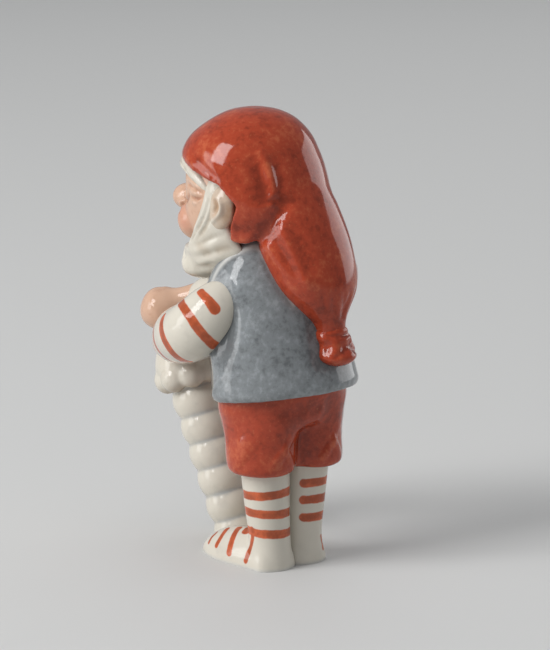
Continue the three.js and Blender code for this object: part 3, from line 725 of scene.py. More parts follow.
def striped_glaze():
    """The stockings and the sleeves, with painted strokes."""
    look = bpy.context.scene.gnome_glaze
    white = tuple(look.white)
    thin = shade(white, 1.06)
    # The tint greys the feet towards their soles
    tint = (0.4, 0.43, 0.45)
    strokes = tuple(look.stroke)
    return glaze("Striped glaze", (0.46, 0.43, 0.38), white, thin, tint, **FAINT_CLOUDS, strokes=strokes)


def flesh_glaze():
    """The face and the hands, with a blush."""
    flesh = tuple(bpy.context.scene.gnome_glaze.flesh)
    thin = (0.64, 0.46, 0.35)
    tint = (0.58, 0.24, 0.16)
    return glaze("Flesh glaze", (0.36, 0.16, 0.09), flesh, thin, tint, **SOFT_CLOUDS)


def ear_glaze():
    """The ears, white where the colour runs thin."""
    white = tuple(bpy.context.scene.gnome_glaze.white)
    base = (0.56, 0.47, 0.37)
    tint = (0.5, 0.28, 0.17)
    return glaze("Ear glaze", (0.4, 0.28, 0.18), base, white, tint, **SOFT_CLOUDS)


# Pieces


class GNOME_OT_legs(Operator):
    """Models the two stockinged legs with their feet and paints their stripes"""

    bl_idname = "gnome.legs"
    bl_label = "Legs"

    KNEE_SPACING = 13.3
    ANKLE_SPACING = 10.8
    KNEE_WIDTH = 12.8
    ANKLE_WIDTH = 11.0
    FOOT_LENGTH = 30.8
    FOOT_WIDTH = 13.0
    INSTEP = 9.0
    TOE = 6.0
    HEEL = 6.2
    TOE_SPREAD = 1.4
    CLEARANCE = 0.05  # between a leg and the middle
    # How much the feet grow greyer towards the sole, and over what height
    SOLE_DARKENING = 0.5
    SOLE_DARKENING_RISE = 0.9
    # Height and tilt of each stripe
    STRIPES = {
        LEFT: ((20.4, 0.05), (15.3, -0.01), (9.9, -0.01)),
        RIGHT: ((21.6, 0.03), (17.0, 0.04), (12.0, 0.06)),
    }
    STRIPE_TURNS = (128, -122)  # degrees round from the outside of the leg
    STRIPE_REACH = 7
    # Spots of each stroke in the view and its share of the width of a stripe
    FOOT_STROKES = (
        (((216, 533), (212, 537), (209, 542)), 0.55),
        (((227, 529), (221, 537), (216.5, 545)), 0.7),
        (((239, 528), (232, 540), (229, 553)), 0.8),
        (((252, 529), (252.5, 537), (250, 549), (245.5, 561)), 0.65),
    )
    HEEL_STROKE = ((321, 536), (322, 542), (323, 548))
    HEEL_SHARE = 0.55

    def leg(self, side):
        """A leg on its foot."""
        ankle, knee = side * self.ANKLE_SPACING / 2, side * self.KNEE_SPACING / 2
        toe, toe_x = self.HEEL - self.FOOT_LENGTH, ankle + side * self.TOE_SPREAD
        calf = (self.ANKLE_WIDTH + self.KNEE_WIDTH) / 2
        bm = bmesh.new()
        shank = (
            section(ankle, 0.4, -3, self.ANKLE_WIDTH + 1.4),
            section(ankle, 0.3, 2, self.ANKLE_WIDTH + 0.9),
            section(ankle, 0.2, 8, self.ANKLE_WIDTH),
            section((ankle + knee) / 2, 0, LEG_HEIGHT * 0.64, calf),
            section(knee, 0, LEG_HEIGHT, self.KNEE_WIDTH),
            section(knee, 0, LEG_HEIGHT + 3, self.KNEE_WIDTH),
        )
        loft(bm, shank)
        foot = (
            section(ankle, self.HEEL, 0, self.FOOT_WIDTH * 0.94, self.INSTEP * 1.5),
            section(ankle, 0, 0, self.FOOT_WIDTH * 0.96, self.INSTEP * 2),
            section((ankle + toe_x) / 2, toe * 0.5, 0, self.FOOT_WIDTH, (self.INSTEP + self.TOE) * 1.13),
            section(toe_x, toe, 0, self.FOOT_WIDTH * 0.8, self.TOE * 1.9),
        )
        loft(bm, foot, round_start=0.24, round_end=0.34, follow=-UP)
        return Clay(bm, voxel=0.4, softness=14)

    def stripe(self, clay, side, height, tilt):
        """The path of a stripe from the inner back of the leg, round the outside, to its inner front."""
        middle = side * (self.ANKLE_SPACING + self.KNEE_SPACING) / 4
        path = []
        for turn in np.radians(np.linspace(*self.STRIPE_TURNS, 15)):
            x, y = self.STRIPE_REACH * math.cos(turn), self.STRIPE_REACH * math.sin(turn)
            path.append((middle + side * x, y, height + tilt * (y - x)))
        return clay.on(path)

    def execute(self, context):
        width = context.scene.gnome_shape.stroke_width / MM
        strokes = []
        for side, word in SIDES:
            clay = self.leg(side)
            for height, tilt in self.STRIPES[side]:
                clay.stroke(self.stripe(clay, side, height, tilt), width)
            if side == LEFT:
                strokes = seen_marks(clay, self.FOOT_STROKES)
            else:
                strokes = far_marks(clay, strokes)
                strokes.append((clay.seen(self.HEEL_STROKE), self.HEEL_SHARE))
            for path, share in strokes:
                clay.stroke(path, width * share)
            # Greys each foot over its lowest 0.9 mm, towards the sole
            clay.tint += self.SOLE_DARKENING * np.clip(1 - clay.points[:, 2] / self.SOLE_DARKENING_RISE, 0, 1)
            cuts = (((side * self.CLEARANCE, 0, 0), (-side, 0, 0)), FLOOR_CUT)
            add_piece(clay, f"{word}_stocking", [f"{word}_leg"], striped_glaze(), cuts)
        return {"FINISHED"}


class GNOME_OT_breeches(Operator):
    """Models the knee breeches"""

    bl_idname = "gnome.breeches"
    bl_label = "Breeches"

    LEG_WIDTH = 19.0
    LEG_SPACING = 14.6
    BULK = {LEFT: 1.07, RIGHT: 1.0}
    HEM_ROUND = 1.7
    HIP_WIDTH = 36.4
    HIP_DEPTH = 28.6
    WAIST_WIDTH = 34
    WAIST_DEPTH = 26
    WAIST_DROP = 3
    CLEFT = ((310, 404), (302, 416), (298, 430), (297, 446), (297, 462))
    GROOVE_BACK = 6
    GROOVE_FRONT = -7
    GROOVE_RISES = (17, 13, 9, 5, 2)
    GROOVE_RUN_OUT = UP * 14
    FOLDS = (
        (((345, 399), (328, 404), (310, 412)), 2.6, -0.5),
        (((306, 412), (286, 420), (262, 428)), 2.6, -0.35),
        (((228, 428), (233, 445), (239, 458)), 2.4, -0.3),
        (((236, 440), (241, 452), (248, 460)), 5.0, 0.6),
        (((278, 452), (286, 457)), 4.6, 0.5),
        (((326, 446), (332, 450)), 4.4, 0.5),
    )

    def leg(self, bm, side):
        """Adds one leg of the breeches."""
        x = side * self.LEG_SPACING / 2
        full = self.LEG_WIDTH * self.BULK[side]
        rings = (
            section(x, 0, LEG_HEIGHT, self.LEG_WIDTH - 2 * self.HEM_ROUND),
            section(x, 0, LEG_HEIGHT + self.HEM_ROUND, self.LEG_WIDTH),
            section(x, -0.2, LEG_HEIGHT + 9.5, full * 0.95, full * 1.04),
            section(x, -0.6, LEG_HEIGHT + 15.9, full * 0.96, full * 1.27),
            section(x, -0.6, HEM_Z, self.LEG_WIDTH * 0.9, self.LEG_WIDTH * 1.28),
        )
        loft(bm, rings, round_end=0.2)

    def hips(self, bm):
        """Adds the seat that joins the legs."""
        width, depth = self.HIP_WIDTH, self.HIP_DEPTH
        rings = (
            section(0, -0.6, LEG_HEIGHT + 8.5, width * 0.6, depth * 0.6),
            section(0, -1, LEG_HEIGHT + 15.3, width * 0.98, depth * 0.97, HEM_TIP * 0.6),
            section(0, -1, HEM_Z, width, depth, HEM_TIP),
            section(0, -1.4, HEM_Z + 4.8, width * 0.9, depth * 0.9, HEM_TIP),
        )
        loft(bm, rings, round_start=0.3)

    def execute(self, context):
        bm = bmesh.new()
        for side in (LEFT, RIGHT):
            self.leg(bm, side)
        self.hips(bm)
        clay = Clay(bm, voxel=0.45, softness=24)
        turns = np.linspace(0, 2 * math.pi, 24)
        across, over = self.WAIST_WIDTH / 2 * np.cos(turns), self.WAIST_DEPTH / 2 * np.sin(turns)
        waist = [(x, y, HEM_Z - self.WAIST_DROP) for x, y in zip(across, over)]
        clay.soften(waist, width=5, rounds=60)
        for path in clay.both(clay.seen(self.CLEFT)):
            clay.soften(path, width=3.4, rounds=110)
            # The strong tone darkens the cleft between the legs with painted shade, beyond the shallow
            # crease pressed there
            clay.press(path, width=3.4, height=-0.3, tone=2.4)
        for y in (self.GROOVE_BACK, self.GROOVE_FRONT):
            groove = clay.on((0, y, LEG_HEIGHT + rise) for rise in self.GROOVE_RISES)
            groove.append(groove[-1] - self.GROOVE_RUN_OUT)
            clay.press(groove, width=3.4, height=-1.3, tone=0.3)
            clay.press(groove, width=1.4, height=-0.5, tone=0.3)
        fold(clay, self.FOLDS, context.scene.gnome_shape.fold_depth)
        add_piece(clay, "red_breeches", ["breeches"], red_glaze())
        return {"FINISHED"}


class GNOME_OT_tunic(Operator):
    """Models the sleeveless tunic"""

    bl_idname = "gnome.tunic"
    bl_label = "Tunic"

    HEM_WIDTH = 42.0
    HEM_DEPTH = 33.4
    HEM_ROUND = 1.8
    CHEST_WIDTH = 38.4
    CHEST_DEPTH = 30.6
    SHOULDER_WIDTH = 30.0
    SHOULDER_DEPTH = 24.6
    NECK_WIDTH = 21.0
    LEAN = 10.0
    NECK_TIP = 34.0
    FOLDS = (
        (((212, 284), (221, 300), (226, 320), (223, 344), (212, 360)), 4.0, -1.9),
        (((226, 272), (234, 294), (237, 318), (233, 346), (224, 366)), 3.6, 0.3),
        (((208, 352), (207, 372), (212, 392)), 6.0, -1.2),
        (((216, 392), (240, 398), (290, 394), (335, 388)), 1.5, 0.3),
        (((316, 318), (312, 340), (318, 362), (334, 372)), 2.4, -0.5),
        (((262, 254), (280, 282), (300, 310)), 2.0, -0.4),
    )
    # The painted highlight along the edge, up the armhole and down along the collar
    ARMHOLE = ((212, 282), (217, 271), (224, 262), (233, 255), (243, 250))
    COLLAR = ((255, 247), (263, 252), (272, 267), (283, 285), (294, 303))
    EDGE_HIGHLIGHT_WIDTH = 0.9
    EDGE_HIGHLIGHT = 0.8

    def place(self, share, width, depth, tip):
        """A section at a share of the height, with a share of the tip of the neck."""
        tip = HEM_TIP + (self.NECK_TIP - HEM_TIP) * tip
        return section(0, -self.LEAN * share**0.9, HEM_Z + TUNIC_HEIGHT * share, width, depth, tip)

    def execute(self, context):
        bm = bmesh.new()
        hem_width, hem_depth = self.HEM_WIDTH - self.HEM_ROUND, self.HEM_DEPTH - self.HEM_ROUND
        waist = (self.HEM_WIDTH + self.CHEST_WIDTH) / 2, (self.HEM_DEPTH + self.CHEST_DEPTH) / 2
        rings = (
            section(0, 0.2, HEM_Z - 1.2, hem_width, hem_depth, HEM_TIP),
            self.place(0.05, self.HEM_WIDTH, self.HEM_DEPTH, 0),
            self.place(0.3, *waist, 0.05),
            self.place(0.52, self.CHEST_WIDTH, self.CHEST_DEPTH, 0.2),
            self.place(0.72, self.CHEST_WIDTH * 0.94, self.CHEST_DEPTH * 0.93, 0.5),
            self.place(0.88, self.SHOULDER_WIDTH, self.SHOULDER_DEPTH, 0.8),
            self.place(1, self.NECK_WIDTH, self.NECK_WIDTH * 0.9, 1),
        )
        loft(bm, rings, sides=56, steps=48)
        clay = Clay(bm, voxel=0.45, softness=10)
        fold(clay, self.FOLDS, context.scene.gnome_shape.fold_depth)
        # Paints a highlight along the armhole and the collar, on both sides
        edge = smooth_path(clay.seen(self.ARMHOLE + self.COLLAR), 30)
        for path in clay.both(edge):
            clay.stain_and_light(path, self.EDGE_HIGHLIGHT_WIDTH, self.EDGE_HIGHLIGHT)
        add_piece(clay, "grey_tunic", ["tunic"], grey_glaze())
        return {"FINISHED"}


class GNOME_OT_sleeves(Operator):
    """Models the two sleeves and paints their strokes"""

    bl_idname = "gnome.sleeves"
    bl_label = "Sleeves"

    WIDTH = 15.8
    SPREAD = 39.2
    CUFF_WIDTH = 11.4
    CUFFS = {LEFT: Vector((11.5, -31.2, 55.4)), RIGHT: Vector((-2.4, -43.8, 63.2))}
    LIFT = {LEFT: 0.3, RIGHT: 0.8}
    # Spots of each stroke in the view, its share of the width of a stripe, and its taper
    STROKES = (
        (((200, 291), (207, 299), (215, 309)), 1.25, 0.35),
        (((181, 302), (188, 314), (200, 331), (215, 346)), 1.15, 0.15),
        (((163, 317), (161, 328), (168, 347), (187, 362)), 1.45, 0.25),
    )
    RING_SETBACK = 10.6
    RING_TURNS = (-40, 190)  # degrees from the top of the forearm, over its outside

    def elbow(self, side):
        """The middle of the elbow."""
        return Vector((side * self.SPREAD / 2, NECK_Y - 1.4, NECK_Z - 20))

    def sleeve(self, side):
        """A sleeve from the shoulder, round the elbow, to the cuff."""
        elbow, cuff = self.elbow(side), self.CUFFS[side]
        middle = elbow.lerp(cuff, 0.55) + UP * self.LIFT[side]
        bm = bmesh.new()
        rings = (
            section(side * 11, NECK_Y * 0.45, NECK_Z - 8.8, self.WIDTH * 0.84),
            section(*elbow, self.WIDTH),
            section(middle.x + side * 1.4, middle.y, middle.z, self.WIDTH * 0.95),
            section(*cuff, self.CUFF_WIDTH),
        )
        loft(bm, rings, round_start=0.22, round_end=0.14, follow=UP)
        return Clay(bm, voxel=0.4, softness=8)

    def ring(self, clay, side):
        """The path of a stroke over the outside of the forearm, near the cuff."""
        cuff = self.CUFFS[side]
        forearm = (cuff - self.elbow(side)).normalized()
        across = forearm.cross(UP).normalized() * -side
        rise = (UP - forearm * forearm.dot(UP)).normalized()
        middle = cuff - forearm * self.RING_SETBACK
        path = []
        for turn in np.radians(np.linspace(*self.RING_TURNS, 14)):
            path.append(middle + (rise * math.cos(turn) + across * math.sin(turn)) * self.WIDTH / 2)
        return clay.on(path)

    def execute(self, context):
        width = context.scene.gnome_shape.stroke_width / MM
        strokes = []
        for side, word in SIDES:
            clay = self.sleeve(side)
            strokes = far_marks(clay, strokes) if strokes else seen_marks(clay, self.STROKES)
            for path, share, taper in strokes:
                clay.stroke(path, width * share, taper)
            clay.stroke(self.ring(clay, side), width)
            add_piece(clay, f"{word}_white_sleeve", [f"{word}_sleeve"], striped_glaze())
        return {"FINISHED"}


class GNOME_OT_hands(Operator):
    """Models the two hands on the cone"""

    bl_idname = "gnome.hands"
    bl_label = "Hands"

    WIDTH = 12.2
    LENGTH = {LEFT: 16.5, RIGHT: 13.4}
    HEADING = {LEFT: Vector((-0.62, -0.8, -0.07)), RIGHT: Vector((0.55, -0.8, -0.36))}
    # Share of the length, rise and share of the width of each section of the fist
    FIST = ((-0.45, 0, 0.6), (0.05, 0, 0.6), (0.32, -0.3, 0.86), (0.6, -0.6, 1.04), (0.98, -1.5, 0.96))
    THUMB = (0.3, 0.58, 0.85)
    THUMB_WIDTH = 5.0
    THUMB_LIFT = 0.24
    FINGER_GAPS = (-2.6, 0.2, 3.0)

    def along(self, side, share):
        """A place on the axis of a hand, at a share of its length from the wrist."""
        heading = self.HEADING[side].normalized()
        return GNOME_OT_sleeves.CUFFS[side] + heading * (self.LENGTH[side] * share)

    def hand(self, side):
        """A fist with its thumb on top."""
        bm = bmesh.new()
        fist = [
            section(*(self.along(side, share) + UP * rise), self.WIDTH * size)
            for share, rise, size in self.FIST
        ]
        loft(bm, fist, round_end=0.34, follow=UP)
        lift = UP * (self.WIDTH * self.THUMB_LIFT)
        thumb = [section(*(self.along(side, share) + lift), self.THUMB_WIDTH) for share in self.THUMB]
        loft(bm, thumb, sides=20, round_start=0.3, round_end=0.4, follow=UP)
        return Clay(bm, voxel=0.35, softness=10)

    def execute(self, context):
        for side, word in SIDES:
            clay = self.hand(side)
            outward = self.HEADING[side].normalized().cross(UP).normalized() * -side
            for rise in self.FINGER_GAPS:
                knuckle = self.along(side, 0.5) + outward * 8 + UP * rise
                tip = self.along(side, 1.02) + outward * 5 + UP * rise
                gap = clay.on(knuckle.lerp(tip, step / 8) for step in range(9))
                clay.press(gap, width=0.8, height=-0.55)
            clay.stain_and_light(clay.on([self.along(side, 1)]), width=4, amount=0.15)
            add_piece(clay, f"{word}_glazed_hand", [f"{word}_hand"], flesh_glaze())
        return {"FINISHED"}


class GNOME_OT_head(Operator):
    """Models the head with its nose, lips, cheeks and closed eyes"""

    bl_idname = "gnome.head"
    bl_label = "Head"

    # Shares of the height, of the reach of the face, of the width and of the depth
    SKULL = (
        (0, -0.2, 0.57, 0.59),
        (0.14, -0.6, 0.74, 0.7),
        (0.32, -0.9, 0.93, 0.92),
        (0.54, -0.85, 1, 0.97),
        (0.76, -0.8, 0.985, 0.955),
        (0.92, -0.8, 0.88, 0.9),
        (1, -0.76, 0.78, 0.8),
    )
    SOCKET = ((5.4, 16.4), (8.2, 16.4))
    SOCKET_WIDTH = 3.4
    SOCKET_DEPTH = 2.3
    # Place of each ball from the middle of the face, and its width, depth and height
    NOSE_TIP = (0, -1.04, 14), (7.8, 8.3, 7)
    NOSE_BRIDGE = (0, 1.5, 14.6), (6.8, 6.5, 6.2)
    MOUTH = (0, 5.6, 7), (15, 11, 10)
    NOSTRIL = (3, 0.6, 12.8), (4, 4.4, 3.6)
    CHEEK = (7, 7.4, 9.8), (10.6, 10.4, 10.8)
    EYELID = (6.6, 6.2, 16.2), (7, 5.4, 5)
    FEATURES = (
        (((186, 176), (193, 182), (202, 190)), 1.0, 0.4),
        (((188, 183), (195, 189), (204, 194)), 0.6, -0.6),
        (((190, 187), (194, 191), (198, 194)), 1.2, 0.4),
        (((190, 195), (197, 199), (204, 197)), 0.6, -0.5),
        (((199, 200), (200, 202)), 0.8, 0.4),
        (((193, 199), (196, 206)), 0.7, 0.35),
        (((189, 192), (187, 199), (182, 205), (180, 212)), 0.7, -0.5),
    )
    # Spots across and up the face, width and height of each line
    EYE_LINES = (
        (((3.8, 15.5), (6.6, 14.4), (9.6, 15.3)), 0.45, -0.55),
        (((4.2, 18.2), (6.8, 18.8), (9.8, 17.9)), 0.5, -0.35),
    )
    LIPS = ((-5.4, 7.4), (-2.6, 6.7), (0, 6.6), (2.6, 6.7), (5.4, 7.4))
    BLUSH = ((182, 207), (181, 214), (184, 224))
    NOSE_BLUSH = ((0, 13),)

    def skull(self):
        """The bare skull with its eye sockets, as a mesh."""
        bm = bmesh.new()
        rings = stacked(self.SKULL, 0, HEAD_HEIGHT, HEAD_WIDTH, HEAD_DEPTH, swing=FACE_REACH)
        loft(bm, rings, sides=48, pose=HEAD_POSE)
        clay = Clay(bm, voxel=0.4, softness=6)
        for side in (LEFT, RIGHT):
            socket = clay.ahead([(side * x, z) for x, z in self.SOCKET])
            clay.press(socket, self.SOCKET_WIDTH, -self.SOCKET_DEPTH, fade=0)
        return clay.write()

    def face(self):
        """The skull with the balls of the face on it."""
        skull = self.skull()
        bm = bmesh.new()
        bm.from_mesh(skull)
        bpy.data.meshes.remove(skull)
        for (x, y, z), size in (self.NOSE_TIP, self.NOSE_BRIDGE, self.MOUTH):
            ball(bm, x, FACE_Y + y, z, *size, HEAD_POSE)
        for side in (LEFT, RIGHT):
            for (x, y, z), size in (self.NOSTRIL, self.CHEEK, self.EYELID):
                ball(bm, side * x, FACE_Y + y, z, *size, HEAD_POSE)
        return Clay(bm, voxel=0.3, softness=8)

    def execute(self, context):
        clay = self.face()
        fold(clay, self.FEATURES, 1, HEAD_POSE)
        for side in (LEFT, RIGHT):
            for spots, width, height in self.EYE_LINES:
                line = clay.ahead([(side * x, z) for x, z in spots])
                clay.press(smooth_path(line), width, height)
        lips = smooth_path(clay.ahead(self.LIPS))
        clay.press(lips, width=0.8, height=-0.7)
        clay.stain_and_light(lips, width=1.2, amount=0.6)
        for path in clay.both(clay.seen(self.BLUSH), HEAD_POSE):
            clay.stain_and_light(path, width=2.8, amount=0.55)
        clay.stain_and_light(clay.ahead(self.NOSE_BLUSH), width=3, amount=0.35)
        add_piece(clay, "glazed_head", ["head"], flesh_glaze())
        return {"FINISHED"}


class GNOME_OT_hair(Operator):
    """Models the eyebrows, the beard with its sideburns, and the ears"""

    bl_idname = "gnome.hair"
    bl_label = "Beard, eyebrows and ears"

    # x, share of the depth of the head behind the face, z and share of the width
    BROW = ((1.8, 0.08, 25.4, 1), (8.6, 0.15, 25, 1.05), (12.9, 0.31, 23.4, 1), (15.4, 0.52, 19.2, 0.8))
    BROW_WIDTH = 3.4
    BROW_LINES = (-0.9, 0.7)
    # y behind the face, z, width and depth
    CHIN = ((7.4, -7, 17.2, 11.2), (9.7, -3.5, 23.4, 16.6), (11.2, 0.9, 26, 18), (12.4, 4.6, 30.7, 18.7))
    # x, y, z, width and depth
    SIDEBURN = (
        (9.9, -6.7, -3.5, 6.6, 16.9),
        (12.9, -3.3, 3.8, 6, 18),
        (14.8, -2.9, 10, 4.4, 11),
        (15.3, -1.6, 17, 3.6, 7.4),
        (15, -0.8, 24.4, 3, 6.6),
    )
    JAW = ((196, 246), (210, 249), (226, 247), (238, 243))
    LOCKS = (
        (((209, 192), (208, 204), (203, 219), (196, 231), (190, 240)), 0.7, -0.6),
        (((213, 193), (212, 206), (208, 220), (202, 231), (195, 241)), 0.7, -0.6),
        (((211, 191), (210, 204), (206, 218), (200, 230), (193, 240)), 0.8, 0.5),
        (((207, 195), (205, 208), (199, 222), (193, 233)), 0.8, 0.4),
        (((226, 234), (214, 238), (203, 243), (190, 247)), 0.8, -0.35),
        (((240, 246), (224, 250), (208, 254), (190, 257)), 0.9, -0.3),
        (((214, 262), (204, 267), (194, 268)), 1.0, -0.35),
        (((222, 240), (208, 246), (194, 252)), 1.3, 0.3),
        (((226, 254), (210, 260), (196, 263)), 1.3, 0.3),
        (((185, 253), (184, 259), (188, 265)), 2.4, 0.8),
    )
    # x of each strand at its widest, and the share of it and the z of each of its spots
    STRANDS = (-9, -6.2, -3.8, -1, 1.6, 4.4, 6.4, 9)
    STRAND = ((0.75, 3.5), (1, 0), (0.85, -3.4), (0.6, -5.6))
    BEARD_STAINS = (((200, 247), (206, 251)), ((219, 250), (226, 247)))
    EAR_RISE = 15.2
    EAR_HEIGHT = 12.4
    EAR_WIDTH = 7.4
    EAR_THICKNESS = 3.6
    EAR_SETBACK = 1.2
    EAR_SINK = 0.2
    # Share of the thickness outwards, shift back, share of the height, of the thickness and of the width
    EAR = (
        (0, -1.6, -0.5, 1, 0.55),
        (0.2, -0.4, -0.2, 1, 0.96),
        (0.34, 0.3, 0.15, 1, 0.96),
        (0.2, 0, 0.5, 0.9, 0.7),
    )
    # Rim, strip and bowl: spots in the view, width, height, and the width and amount of the stain
    EAR_MARKS = (
        (((215, 193), (220, 203), (219.5, 213), (213, 221), (209, 227)), 0.7, 0.55, 1.0, 0.0),
        (((214, 199), (216, 207), (214, 215)), 0.9, -0.7, 1.2, 0.3),
        (((226, 202), (228, 213), (225, 225)), 1.8, -0.45, 2.2, 0.25),
    )

    def brow(self, side):
        """An eyebrow, combed along its length."""
        bm = bmesh.new()
        hair = [
            section(side * x, FACE_Y + HEAD_DEPTH * back, z, self.BROW_WIDTH * size)
            for x, back, z, size in self.BROW
        ]
        loft(bm, hair, sides=24, round_start=0.15, round_end=0.25, follow=UP, pose=HEAD_POSE)
        clay = Clay(bm, voxel=0.3, softness=6)
        for rise in self.BROW_LINES:
            comb = [
                HEAD_POSE @ Vector((side * x, FACE_Y + HEAD_DEPTH * back - 2, z + rise))
                for x, back, z, _ in self.BROW
            ]
            clay.press(clay.on(smooth_path(comb)), width=0.5, height=-0.3)
        return clay

    def beard(self, depth):
        """The chin beard and the sideburns, combed in strands."""
        bm = bmesh.new()
        chin = [section(0, FACE_Y + y, z, *size) for y, z, *size in self.CHIN]
        loft(bm, chin, round_start=0.35, round_end=0.15, pose=HEAD_POSE)
        for side in (LEFT, RIGHT):
            sideburn = [section(side * x, *rest) for x, *rest in self.SIDEBURN]
            loft(bm, sideburn, sides=28, round_start=0.3, round_end=0.2, pose=HEAD_POSE)
        clay = Clay(bm, voxel=0.35, softness=12)
        for path in clay.both(clay.seen(self.JAW), HEAD_POSE):
            clay.soften(path, width=3, rounds=60)
        fold(clay, self.LOCKS, depth, HEAD_POSE)
        for x in self.STRANDS:
            strand = clay.ahead([(x * share, z) for share, z in self.STRAND])
            clay.press(smooth_path(strand), width=0.9, height=-depth * 0.35)
        for spots in self.BEARD_STAINS:
            clay.stain_and_light(clay.seen(spots), width=1.5, amount=0.35)
        return clay

    def ear(self, side):
        """A bare ear."""
        bm = bmesh.new()
        x = side * (HEAD_WIDTH / 2 - self.EAR_SINK)
        shell = [
            section(
                x + side * self.EAR_THICKNESS * out,
                self.EAR_SETBACK + back,
                self.EAR_RISE + self.EAR_HEIGHT * rise,
                self.EAR_THICKNESS * thick,
                self.EAR_WIDTH * wide,
            )
            for out, back, rise, thick, wide in self.EAR
        ]
        loft(bm, shell, sides=28, round_start=0.3, round_end=0.3, pose=HEAD_POSE)
        return Clay(bm, voxel=0.28, softness=6)

    def execute(self, context):
        marks = []
        for side, word in SIDES:
            brow, ear = self.brow(side), self.ear(side)
            add_piece(brow, f"{word}_white_brow", [f"{word}_eyebrow"], beard_glaze())
            marks = far_marks(ear, marks, HEAD_POSE) if marks else seen_marks(ear, self.EAR_MARKS)
            for path, width, height, *_ in marks:
                ear.press(path, width, height)
            for path, _, _, width, amount in marks:
                ear.stain_and_light(path, width, amount)
            add_piece(ear, f"{word}_glazed_ear", [f"{word}_ear"], ear_glaze())
        beard = self.beard(context.scene.gnome_shape.strand_depth)
        add_piece(beard, "white_beard", ["beard"], beard_glaze())
        return {"FINISHED"}


